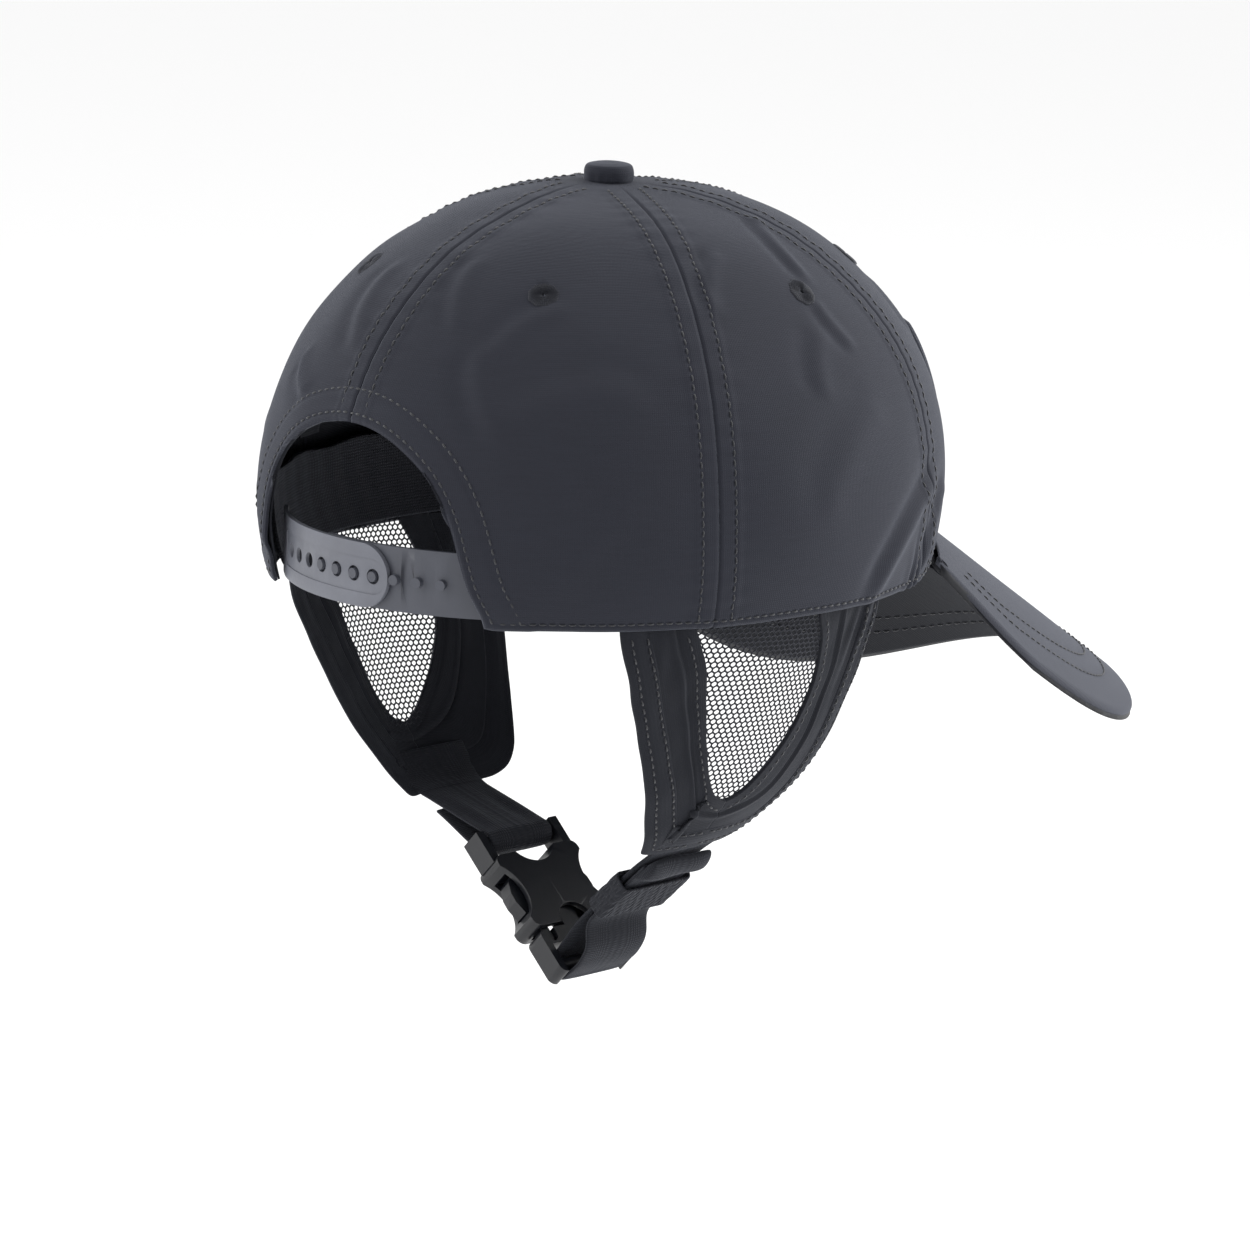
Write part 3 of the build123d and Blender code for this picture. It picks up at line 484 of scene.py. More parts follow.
worked_mesh = bpy.data.meshes.new("worked_eyelets")
bmesh.ops.remove_doubles(work, verts=work.verts, dist=1e-6)
work.to_mesh(worked_mesh)
work.free()
worked_mesh.materials.append(eyelet_thread)
worked = bpy.data.objects.new("worked_eyelets", worked_mesh)
bpy.context.scene.collection.objects.link(worked)
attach(worked, "crown")
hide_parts("eyelets")


# ---------------------------------------------------------------- button and rivet
# A pressed metal dome covered with crown cloth, whose edge is gathered under it; its rivet is
# closed over a washer inside the crown.
button_line = through([(2.7, 110.6), (5.6, 110.7), (6.7, 111.2), (7.0, 112.6), (6.95, 114.2), (6.4, 115.4),
                       (4.6, 116.05), (2.4, 116.3), (0.02, 116.35)], 60)
turn = np.linspace(0, 2 * np.pi, 97)[:-1]
edge = np.exp(-((button_line[:, 1] - 112.3) / 1.6) ** 2)[:, None]
radius = button_line[:, :1] * (1 + 0.018 * edge * np.sin(11 * turn + 2 * np.sin(3 * turn))
                               + 0.006 * np.sin(2 * turn))
high = button_line[:, 1:] + 0.08 * np.cos(turn - 0.7) * (button_line[:, :1] / 7)
dome = np.stack([radius * np.cos(turn), radius * np.sin(turn), high], -1)
button = lay_grid("cloth_covered_button", dome, np.stack(np.broadcast_arrays(np.linspace(0, 44, 97)[None, :],
                  np.linspace(0, 13, 60)[:, None]), -1), closed=True, away_from=(0, 0, 113), skin=crown_cloth)
tidy_mesh(button)
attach(button, "crown")
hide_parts("button_shell")


def hard_finish(name, colour, rough=0.42, grain=900.0, relief=0.00003, metal=0.0, wear=0.25):
    """Moulded plastic or pressed metal: fine pebbled noise makes the bump and slow noise varies the
    colour."""
    finish = bpy.data.materials.new(name)
    finish.use_nodes = True
    tree = finish.node_tree
    surface = tree.nodes["Principled BSDF"]
    surface.inputs["Metallic"].default_value = metal
    surface.inputs["Specular IOR Level"].default_value = 0.5
    place = node(tree, "TexCoord")
    pebble = node(tree, "TexNoise", in_Scale=grain, in_Detail=3.0)
    slow = node(tree, "TexNoise", in_Scale=60.0, in_Detail=3.0)
    shade = node(tree, "MixRGB", in_1=(*[c * (1 - wear) for c in colour], 1),
                 in_2=(*[c * (1 + wear) for c in colour], 1))
    matt = node(tree, "MapRange", in_3=rough - 0.08, in_4=rough + 0.1)
    bump = node(tree, "Bump", in_Strength=0.6, in_Distance=relief)
    for texture in (pebble, slow):
        tree.links.new(place.outputs["Object"], texture.inputs["Vector"])
    tree.links.new(slow.outputs["Fac"], shade.inputs[0])
    tree.links.new(shade.outputs[0], surface.inputs["Base Color"])
    tree.links.new(pebble.outputs["Fac"], matt.inputs[0])
    tree.links.new(matt.outputs[0], surface.inputs["Roughness"])
    tree.links.new(pebble.outputs["Fac"], bump.inputs["Height"])
    tree.links.new(bump.outputs[0], surface.inputs["Normal"])
    return finish


def refinish(name, finish, round_edge):
    """Gives a hard part its finish, welds its faces together and rounds its edges a little."""
    part = nodes[name]
    part.data.materials.clear()
    part.data.materials.append(finish)
    weld = part.modifiers.new("one_skin", "WELD")
    weld.merge_threshold = 2e-6
    if round_edge:
        soften = part.modifiers.new("moulded_edge", "BEVEL")
        soften.width = round_edge * 0.001
        soften.segments = 3
        soften.limit_method = "ANGLE"
        soften.angle_limit = math.radians(38)
        soften.use_clamp_overlap = True
        soften.harden_normals = False
    return part


rivet_steel = hard_finish("painted_rivet_steel", (0.05, 0.052, 0.06), rough=0.35, metal=0.6)
refinish("button_rivet", rivet_steel, 0.25)


# ---------------------------------------------------------------- tapes, facing and hems inside
# Strips of folded lining cloth cover the raw seams inside the crown and face the rear opening; the
# temple hems hold a flat elastic, and the flaps are sewn into the side hems.
def inner_strip(name, angle, run, depth, thick, finish, slot, *stands_for):
    """A strip of cloth laid inside the dome at a depth under its outer face, thickened towards the
    head."""
    angle, run = np.broadcast_arrays(angle, run)
    point = crown_skin(angle, run, -depth - thick + 0.12 * np.sin(run / 2.1 + angle))[0]
    chart = np.stack([np.radians(angle) * 95.0, run], -1)
    strip = lay_grid(name, point, chart, away_from=(0, 0, 10), skin=finish)
    wall = thicken(strip, thick)
    wall.modifiers[0].offset = 1
    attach(strip, "crown")
    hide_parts(*stands_for)
    return strip


tape_cloth = cloth_finish("seam_tape_cloth", (0.0075, 0.0085, 0.013), pitch=0.7, sheen=0.06)
tape_names = ("seam_tape_front", "seam_tape_front_right", "seam_tape_rear_right",
              "seam_tape_rear", "seam_tape_rear_left", "seam_tape_front_left")
for seam, cad_name in zip(SEAMS, tape_names):
    run = np.linspace(run_at(63.0) if seam == 180 else run_at(31.0), TOP_RUN - 14, 90)[:, None]
    reach = np.linspace(-6, 6, 13)[None, :]
    inner_strip(cad_name.replace("seam_tape", "tape_over_seam"), seam + reach / mm_per_degree(seam, run), run,
                1.3 - 0.15 * np.cos(reach * np.pi / 6) * 0, 0.6, tape_cloth, "lining", cad_name)

arch_a, arch_r = arch_line(0.8)
arch_b, arch_s = arch_line(8.8)
steps = np.linspace(0, 1, 220)
near_edge = [np.interp(steps, np.linspace(0, 1, len(v)), v) for v in (arch_a, arch_r)]
far_edge = [np.interp(steps, np.linspace(0, 1, len(v)), v) for v in (arch_b, arch_s)]
mix = np.linspace(0, 1, 10)[None, :]
inner_strip("rear_opening_facing", near_edge[0][:, None] * (1 - mix) + far_edge[0][:, None] * mix,
            near_edge[1][:, None] * (1 - mix) + far_edge[1][:, None] * mix, 1.3, 0.6, tape_cloth, "lining",
            "arch_facing")

elastic_rib = cloth_finish("ribbed_elastic", (0.0085, 0.0095, 0.014), pitch=1.2, relief=0.0004, sheen=0.12)
for hand, start, end in (("right", 49, 66), ("left", 294, 311)):
    inner_strip("temple_elastic_in_" + hand + "_hem", np.linspace(start, end, 60)[None, :],
                np.linspace(run_at(1.6), run_at(8.9), 10)[:, None], 1.3, 0.9, elastic_rib, "elastic",
                "temple_elastic_" + hand)
for hand, start, end in (("right", 67.5, 131.5), ("left", 228.5, 292.5)):
    inner_strip("flap_allowance_" + hand, np.linspace(start, end, 120)[None, :],
                np.linspace(run_at(0.3), run_at(8.9), 10)[:, None], 1.4, 1.4, tape_cloth, "flap_cloth",
                "flap_hem_" + hand)


# ---------------------------------------------------------------- sweatband
# A folded band of wicking cloth over a thin pad, sewn in all round the rim but for the rear
# opening and turned up inside; it rises over the bill with the rim.
band_cloth = cloth_finish("wicking_band_cloth", (0.0070, 0.0080, 0.0125), pitch=0.9, relief=0.0003,
                          sheen=0.09)
band_angle = np.linspace(-141, 141, 420)[None, :]
band_up = np.linspace(0, 1, 30)[:, None]
band_foot = foot_run(np.mod(band_angle, 360)) + 1.0
band_run = band_foot + band_up * (27.0 - 0.6 * np.sin(band_angle / 3))
plump = 0.55 * np.sin(np.pi * band_up) ** 0.5 + 0.1 * np.sin(band_angle * 1.1 + 3 * band_up)
band_point = crown_skin(band_angle, band_run, -4.1 + plump * 0.9)[0]
band_map = np.stack(np.broadcast_arrays(np.radians(band_angle) * 95, band_run), -1)
sweatband = lay_grid("folded_sweatband", band_point, band_map, away_from=(0, 0, 10), skin=band_cloth)
thicken(sweatband, 0.95)
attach(sweatband, "crown")
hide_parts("sweatband")


# ---------------------------------------------------------------- front patch
# A blank woven patch with rounded corners, its edge overlocked and stitched down across the
# front seam.
patch_u = np.linspace(-1, 1, 130)[None, :]
patch_v = np.linspace(-1, 1, 60)[:, None]
patch_u = np.sin(patch_u * np.pi / 2) * 0.5 + patch_u * 0.5
patch_z = 49.0 + 20 * (np.sin(patch_v * np.pi / 2) * 0.5 + patch_v * 0.5)
corner = np.maximum(np.abs(patch_z - 49) - 14, 0)
patch_x = patch_u * (43 + np.sqrt(36 - corner ** 2))
patch_run = run_at(patch_z)
patch_angle = -np.degrees(np.arcsin(patch_x / (SLIM * np.interp(patch_run, profile_run, profile_r))))
rim_gap = np.minimum(20.01 - np.abs(patch_z - 49), (43 + np.sqrt(36 - corner ** 2)) - np.abs(patch_x))
patch_lift = 1.5 * np.sqrt(np.clip(rim_gap / 1.6, 0, 1)) - 0.25 * np.exp(-((rim_gap - 2.6) / 0.5) ** 2)
patch_cloth = cloth_finish("blank_patch_cloth", (0.0175, 0.0193, 0.0285), pitch=0.8, relief=0.0003)
patch_points = crown_skin(np.mod(patch_angle, 360), patch_run, patch_lift + 0.05)[0]
patch = lay_grid("blank_front_patch", patch_points, np.stack(np.broadcast_arrays(patch_x, patch_z), -1),
                 away_from=(0, 0, 10), skin=patch_cloth)
thicken(patch, 1.0)
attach(patch, "crown")
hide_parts("front_patch")


# ---------------------------------------------------------------- bill
# A stiff board bent in one direction between an upper and a lower cloth cover, which meet in a
# rolled edge; rows of stitching follow the edge, and the root is sewn into the rim.
bill_cloth = cloth_finish("bill_cover_cloth", (0.0425, 0.0450, 0.0570), sheen=0.15, mottle=0.14)
under_cloth = cloth_finish("bill_under_cloth", (0.0042, 0.0049, 0.0080), sheen=0.04, mottle=0.18)


def bill_edge(inset, count=300):
    """Plan of the bill's outer edge, from its left root round to its right: a squarish half oval
    closed by a side curve at each end, moved inwards along its normal by inset."""
    s = np.pi * (np.linspace(0, 1, 61) - 0.5)
    oval = np.stack([77.0 * -np.sign(np.sin(s)) * np.abs(np.sin(s)) ** (2 / 2.45),
                     -(100.7 + 88.3 * np.abs(np.cos(s)) ** (2 / 2.45))], 1)
    root = crown_skin(45.0, 0.0)[0] / 0.96 * 0.99
    side = [(-root[0], root[1]), (68.2, -80.2), (71.8, -86.0), (75.2, -93.5)]
    line = through(np.concatenate([side, oval, [(-x, y) for x, y in side[::-1]]]), count)
    way = np.gradient(line, axis=0)
    way /= np.linalg.norm(way, axis=1, keepdims=True)
    return line + inset * np.stack([way[:, 1], -way[:, 0]], 1)


def bill_skin(plan, depth):
    """Points on the bent board at a depth under the bill's top face, along the normal of the arch and
    droop."""
    x, y = plan[..., 0], plan[..., 1]
    out = np.stack([2 * np.where(x < 0, 7.0e-3, 7.9e-3) * x, -0.647 + 0 * x, 1 + 0 * x], -1)
    out /= np.linalg.norm(out, axis=-1, keepdims=True)
    depth = np.broadcast_to(depth, x.shape)
    return np.stack([x, y, bill_height(x, y)], -1) - depth[..., None] * out, out


BILL_ROWS = (9.5, 15.5)
outer = bill_edge(1.6)
root_angle = -45.0 + 90.0 * np.linspace(0, 1, 300)
root = crown_skin(np.mod(root_angle, 360), 0.0)[0][:, :2] / 0.96 * 0.99 + (0, -0.2)
fill = np.linspace(0, 1, 70)[:, None, None]
fill = fill * (1.6 - 0.6 * fill)
flat_plan = root[None] * (1 - fill) + outer[None] * fill
roll = np.linspace(0, np.pi / 2, 7)[1:, None]
edge_way = np.gradient(outer, axis=0)
edge_way /= np.linalg.norm(edge_way, axis=1, keepdims=True)
edge_out = np.stack([-edge_way[:, 1], edge_way[:, 0]], 1)
soft_dip = 0.16 * np.sin(flat_plan[..., 0] / 9 + flat_plan[..., 1] / 14) * np.sin(flat_plan[..., 1] / 11)
for name, cad_name, sign, finish, slot in (("bill_top_skin", "bill_top_cover", 1, bill_cloth, "bill_cloth"),
                                           ("bill_under_skin", "bill_under_cover", -1, under_cloth,
                                            "bill_under_cloth")):
    rolled = outer[None] + 1.55 * np.sin(roll)[..., None] * edge_out[None]
    plan = np.concatenate([flat_plan, rolled])
    half = 1.55 - 0.05
    depth = np.concatenate([1.55 - sign * (half + sign * soft_dip * 0.3), 1.55 - sign * half * np.cos(roll)
                            + 0 * rolled[..., 0]])
    for inset in BILL_ROWS:
        to_edge = np.sqrt(((plan[:, ::3, None] - bill_edge(inset)[None, None, ::3]) ** 2).sum(-1).min(-1))
        to_edge = np.stack([np.interp(np.arange(300), np.arange(0, 300, 3), row) for row in to_edge])
        depth = depth + sign * 0.12 * np.exp(-(to_edge / 0.8) ** 2)
    chart = plan if name == "bill_top_skin" else plan[..., ::-1]
    cover = lay_grid(name, bill_skin(plan, depth)[0], chart,
                     away_from=bill_skin(np.array([0.0, -130.0]), 1.55 + sign * 60)[0], skin=finish)
    thicken(cover, 0.5)
    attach(cover, "crown")
    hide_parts(cad_name)
board = hard_finish("dark_board", (0.010, 0.011, 0.015), rough=0.6)
refinish("bill_board", board, 0)

bill_rows = []
for inset in BILL_ROWS:
    line = bill_edge(inset, 500)
    ends = int(4 + inset * 0.9)
    line = line[ends:-ends]
    line = line[np.hypot(line[:, 0] / (SLIM * 1.0), line[:, 1]) > HALF_LENGTH + 2.5]
    top, out = bill_skin(line, 0.0)
    bottom = bill_skin(line, 3.1)[0]
    bill_rows += [(top, out), (bottom, -out)]
bill_stitching = sew_rows("bill_stitching", bill_rows, pitch=2.9, length=2.2, thick=0.24)
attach(bill_stitching, "crown")


# ---------------------------------------------------------------- ear flaps
# Each flap is a curved cloth frame round a net window. A doubled band binds its outer edge, inner
# strips with corded seams carry the net, and its top is sewn into the hem. The right flap swings
# out on its seam when the buckle is open; the left one is the same, the other way round.
FLAP_ROWS = np.array([(4, 86.4, 99.0, 0), (-8, 83.0, 101, 1.5), (-16, 80.2, 102, 3), (-24, 77.4, 98, 3.5),
                      (-32, 74.7, 93, 4.5), (-40, 72.2, 85, 6), (-48, 69.4, 75, 7.5), (-56, 65.4, 63, 9),
                      (-64, 59.3, 54, 11), (-72, 50.0, 52, 12.5), (-80, 40.0, 60, 14)])[::-1]
flap_lines = through(FLAP_ROWS, 400)
FLAP_REAR = [(60.0, 2.2), (59.8, -0.3), (58.4, -8.0), (55.4, -17.0), (49.8, -30.7), (45.2, -41.2),
             (41.4, -49.5),
             (37.8, -56.7), (33.9, -63.9), (29.5, -71.5)]
FLAP_FRONT = [(1.0, -71.0), (-5.0, -70.2), (-10.5, -68.0), (-14.8, -64.4), (-18.8, -58.9), (-22.6, -51.5),
              (-25.9, -42.0), (-28.3, -29.4), (-29.4, -15.4), (-28.8, -0.3), (-28.4, 2.2)]
NET_EDGE = [(41.8, 2.2), (40.7, -0.3), (37.3, -8.0), (34.6, -15.7), (32.4, -23.3), (30.3, -30.4),
            (28.2, -36.8),
            (25.9, -42.9), (23.2, -48.4), (19.6, -52.8), (15.4, -54.6), (11.0, -53.0), (6.4, -49.2),
            (1.8, -44.0), (-2.4, -37.6), (-5.4, -30.8), (-6.8, -23.6), (-6.4, -16.0), (-4.3, -7.9),
            (-0.9, -0.3),
            (0.0, 2.2)]
flap_cloth = cloth_finish("flap_cloth", (0.0068, 0.0078, 0.0122), mottle=0.3, sheen=0.07)
band_finish = cloth_finish("flap_band_cloth", (0.0074, 0.0085, 0.0132), mottle=0.25, sheen=0.08)


def flap_skin(y, z, depth):
    """The right flap's skin: an oval across each height whose half width and length follow smooth
    lines, moved towards the head by depth."""
    wide, long, shift = (np.interp(z, flap_lines[:, 0], flap_lines[:, k]) for k in (1, 2, 3))
    return np.stack([-wide * np.sqrt(1 - ((y - shift) / long) ** 2) + depth, y + 0 * z, z + 0 * y], -1)


def inward(line):
    """Unit directions at right angles to a (y, z) line, towards its left hand."""
    way = np.gradient(line, axis=0)
    way /= np.linalg.norm(way, axis=1, keepdims=True)
    return np.stack([way[:, 1], -way[:, 0]], 1)


def flap_pleats(y, z):
    """Gathers under the hem at the front and shallow waves lower down, fading away from the hem."""
    front = np.exp(-((y + 24) / 7.5) ** 2) * np.exp(-np.abs(z + 8) / 13)
    rear = np.exp(-((y - 50) / 14) ** 2) * np.exp(-(z / 20) ** 2)
    return (0.9 * front * np.sin(y * 1.25 + 0.09 * z) + 0.3 * rear * np.sin(y * 0.8)
            + 0.25 * np.sin(z / 3.1 + y / 7) * np.sin(y / 5.3 + 1))


rear_line, front_line = through(FLAP_REAR, 240), through(FLAP_FRONT, 300)
tip = np.stack([np.linspace(29.5, 1.0, 44)[1:-1], np.linspace(-71.5, -71.0, 44)[1:-1]], 1)
whole_edge = np.concatenate([rear_line, tip, front_line])
for _ in range(12):
    whole_edge[1:-1] = (whole_edge[:-2] + 2 * whole_edge[1:-1] + whole_edge[2:]) / 4
split = int(np.argmin(np.abs(whole_edge[200:340, 0] - 15))) + 200
net_line = through(NET_EDGE, 400)
net_split = int(np.argmin(net_line[:, 1]))
parts_of_edge = {"rear": (whole_edge[:split + 1], net_line[:net_split + 1]),
                 "front": (whole_edge[split:], net_line[net_split:])}


def fix_flap(piece, hand, slot, *stands_for):
    """Puts a flap piece on its side: the left one is fixed to the crown, the right one has its
    placement baked into its points."""
    if hand == "left":
        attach(piece, "crown")
    else:
        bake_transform(piece)
    if stands_for:
        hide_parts(*stands_for)


def evenly(line, count):
    """The same line with evenly spaced points."""
    way = np.concatenate([[0], np.cumsum(np.linalg.norm(np.diff(line, axis=0), axis=1))])
    at = np.linspace(0, way[-1], count)
    return np.stack([np.interp(at, way, line[:, k]) for k in range(line.shape[1])], 1)


for hand, sign in (("right", 1), ("left", -1)):
    mirror = np.array([sign, 1, 1])
    flap_rows = []
    for half, (edge, net_side) in parts_of_edge.items():
        line = evenly(edge, 190)
        into = inward(line) * (1 if inward(line)[20] @ (np.array([15.0, -25.0]) - line[20]) > 0 else -1)
        section = np.linspace(0, 2 * np.pi, 33)[:-1]
        inset = 3.75 - 3.75 * np.sign(np.cos(section)) * np.abs(np.cos(section)) ** 0.75
        thick = np.sign(np.sin(section)) * np.abs(np.sin(section)) ** 0.6
        spot = line[:, None] + inset[None, :, None] * into[:, None]
        spot[..., 1] = np.minimum(spot[..., 1], 2.2)
        rounded = 0.95 + 0.25 * np.exp(-((inset - 3.2) / 2.4) ** 2)
        dent = 0.3 * np.exp(-((inset - 2.0) / 0.45) ** 2) + 0.22 * np.exp(-((inset - 6.2) / 0.4) ** 2)
        relief = flap_pleats(spot[..., 0], spot[..., 1])
        depth = 1.2 - (rounded - dent) * thick - 0.8 * relief
        band = flap_skin(spot[..., 0], spot[..., 1], depth) * mirror
        reach = np.concatenate([[0], np.cumsum(np.linalg.norm(np.diff(line, axis=0), axis=1))])
        chart = np.stack(np.broadcast_arrays(reach[:, None], np.linspace(0, 20, 33)[None, :]), -1)
        piece = lay_grid("flap_band_" + half + "_" + hand, band, chart, closed=True,
                         away_from=(-70 * sign, 15, -40), skin=band_finish)
        bm = bmesh.new()
        bm.from_mesh(piece.data)
        bmesh.ops.recalc_face_normals(bm, faces=bm.faces)
        bm.to_mesh(piece.data)
        bm.free()
        fix_flap(piece, hand, "flap_binding", "flap_binding_" + half + "_" + hand)

        start = line + 6.6 * into
        start[:, 1] = np.minimum(start[:, 1], 2.2)
        stop = evenly(net_side, 190)
        mix = np.linspace(0, 1, 44)[None, :, None]
        spot = start[:, None] * (1 - mix) + stop[:, None] * mix
        mix = mix[..., 0]
        wide = np.linalg.norm(stop - start, axis=1)[:, None]
        from_net = (1 - mix) * wide
        from_cord = (mix - 0.48) * wide
        cord = 0.75 * np.exp(-(from_cord / 0.75) ** 2) - 0.3 * np.exp(-((from_cord - 1.7) / 0.5) ** 2)
        cord = (cord * swell(wide, 4, 9) + 0.5 * (1 - swell(from_net, 3.2, 4.2))
                - 0.22 * np.exp(-((from_net - 3.0) / .4) ** 2))
        depth = 0.75 - cord - 0.9 * flap_pleats(spot[..., 0], spot[..., 1]) * np.minimum(mix * 6, 1)
        panel = flap_skin(spot[..., 0], spot[..., 1], depth) * mirror
        chart = np.stack([reach[:, None] + 0 * mix, mix * wide], -1)
        piece = lay_grid("flap_strip_" + half + "_" + hand, panel, chart, away_from=(-30 * sign, 15, -20),
                         skin=flap_cloth)
        thicken(piece, 1.2)
        fix_flap(piece, hand, "flap_cloth", "flap_panel_" + half + "_" + hand)
        for gap, base in ((6.2, line), (2.0, line)):
            seam = base + gap * into
            seam = seam[seam[:, 1] < -0.5]
            flap_rows.append(flap_skin(seam[:, 0], seam[:, 1],
                                       0.28 - 0.8 * flap_pleats(seam[:, 0], seam[:, 1])) * mirror)
        along_net = stop + 2.9 * (start - stop) / np.linalg.norm(start - stop, axis=1, keepdims=True)
        along_net = along_net[along_net[:, 1] < -0.5]
        flap_rows.append(flap_skin(along_net[:, 0], along_net[:, 1], 0.42
                                   - 0.9 * flap_pleats(along_net[:, 0], along_net[:, 1])) * mirror)
    out = [np.stack([-sign + 0 * row[:, 0], 0 * row[:, 0], -0.25 + 0 * row[:, 0]], 1) / 1.03
           for row in flap_rows]
    flap_stitching = sew_rows("flap_stitching_" + hand, list(zip(flap_rows, out)))
    fix_flap(flap_stitching, hand, "thread")


# ---------------------------------------------------------------- net windows
# Warp-knitted polyester net with six-cornered holes, cut to the window and caught under the
# strips' edges all round.
net_yarn = cloth_finish("net_yarn", (0.0110, 0.0122, 0.0175), pitch=0.3, relief=0.00005, sheen=0.12,
                        rough=0.7)
NET_ACROSS, NET_ROW, YARN = 2.05, 1.42, 0.29
window = np.concatenate([net_line, [[net_line[-1, 0], 3.0], [net_line[0, 0], 3.0]]])
centre = window.mean(0)
window = window + 1.6 * (window - centre) / np.linalg.norm(window - centre, axis=1, keepdims=True)


def inside(points, fence):
    """True where a level ray from the point crosses the fence an odd number of times."""
    a, b = fence, np.roll(fence, -1, axis=0)
    y, z = points[:, None, 0], points[:, None, 1]
    spans = (a[:, 1] > z) != (b[:, 1] > z)
    slope = np.where(b[:, 1] == a[:, 1], 1e-9, b[:, 1] - a[:, 1])
    cross = a[:, 0] + (z - a[:, 1]) / slope * (b[:, 0] - a[:, 0])
    return ((spans & (y < cross)).sum(1) % 2) == 1


# Knots at every second corner of a honeycomb; three yarns leave each one, up and to both sides.
i, j = np.meshgrid(np.arange(-40, 60), np.arange(-60, 60))
knots = np.stack([i * NET_ACROSS + (j % 2) * NET_ACROSS / 2, j * NET_ROW], -1).reshape(-1, 2)
lean = math.radians(4)
spin = np.array([[math.cos(lean), -math.sin(lean)], [math.sin(lean), math.cos(lean)]])
legs = np.array([(0, 0.58 * NET_ROW), (-NET_ACROSS / 2, -0.42 * NET_ROW), (NET_ACROSS / 2, -0.42 * NET_ROW)])
begin = np.repeat(knots, 3, axis=0)
leg = np.tile(legs, (len(knots), 1))
begin, leg = begin @ spin.T, leg @ spin.T
chosen = inside(begin + leg / 2, window)
begin, leg = begin[chosen], leg[chosen]
u = np.array([-0.08, 0.5, 1.08])
swollen = YARN * np.array([1.15, 0.86, 1.15])
ring_turn = np.linspace(0, 2 * np.pi, 6)[:-1]
across = np.stack([-leg[:, 1], leg[:, 0]], 1) / np.linalg.norm(leg, axis=1, keepdims=True)
flat_place = begin[:, None, None] + u[None, :, None, None] * leg[:, None, None]
flat_place = flat_place + (swollen[None, :, None] * np.cos(ring_turn))[..., None] * across[:, None, None]
deep = 1.2 + 0.8 * swollen[None, :, None] * np.sin(ring_turn) + 0 * flat_place[..., 0]
sag = 0.35 * np.sin(flat_place[..., 0] / 9) * np.sin(flat_place[..., 1] / 12)
for hand, sign in (("right", 1), ("left", -1)):
    yarns = flap_skin(flat_place[..., 0], flat_place[..., 1], deep + sag) * (sign, 1, 1)
    yarns = yarns.reshape(-1, 5, 3)
    linked = np.ones((len(yarns), 6), bool)
    linked[2::3] = False
    net = lay_grid("flap_net_" + hand, yarns, closed=True, keep=linked, skin=net_yarn)
    bm = bmesh.new()
    bm.from_mesh(net.data)
    bmesh.ops.recalc_face_normals(bm, faces=bm.faces)
    bm.to_mesh(net.data)
    bm.free()
    fix_flap(net, hand, "mesh", "flap_mesh_" + hand)


# ---------------------------------------------------------------- chin webbing
# Soft folded webbing, 24 mm wide. The left length loops round the fixed bar of the buckle and is
# sewn back on itself; the right one passes down through the keeper, round the bar of the other half,
# back through the keeper, and ends in a doubled tail.
WEB_MIDDLE, WEB_WIDE, WEB_THICK = 13.5, 24.0, 1.7
slope = math.radians(44.0)
BAR = np.array([20.5, -81.0])
AXIS = np.array([-math.cos(slope), -math.sin(slope)])
KEEPER = np.array([-30.2, -85.7])
RUN, SIDE = np.array([0.7408, -0.6717]), np.array([-0.6717, -0.7408])
PLY = WEB_THICK + 0.4
strap_cloth = cloth_finish("chin_webbing", (0.0066, 0.0076, 0.0118), pitch=0.7, relief=0.0002, sheen=0.09,
                           mottle=0.3)


def dense(points, spacing=0.8):
    """The same corners with points added every spacing."""
    length = np.linalg.norm(np.diff(points, axis=0), axis=1).sum()
    return evenly(np.array(points, float), int(length / spacing))


def soften(line, passes):
    """Rounds a dense line's corners: each point moves half way to the middle of its neighbours, ends
    held."""
    line = line.copy()
    for _ in range(passes):
        line[1:-1] = (line[:-2] + 2 * line[1:-1] + line[2:]) / 4
    return line


def bend(centre, radius, start, end, count=24):
    """Points of a round bend about a bar, angles in degrees."""
    a = np.radians(np.linspace(start, end, count))
    return centre + radius * np.stack([np.cos(a), np.sin(a)], 1)


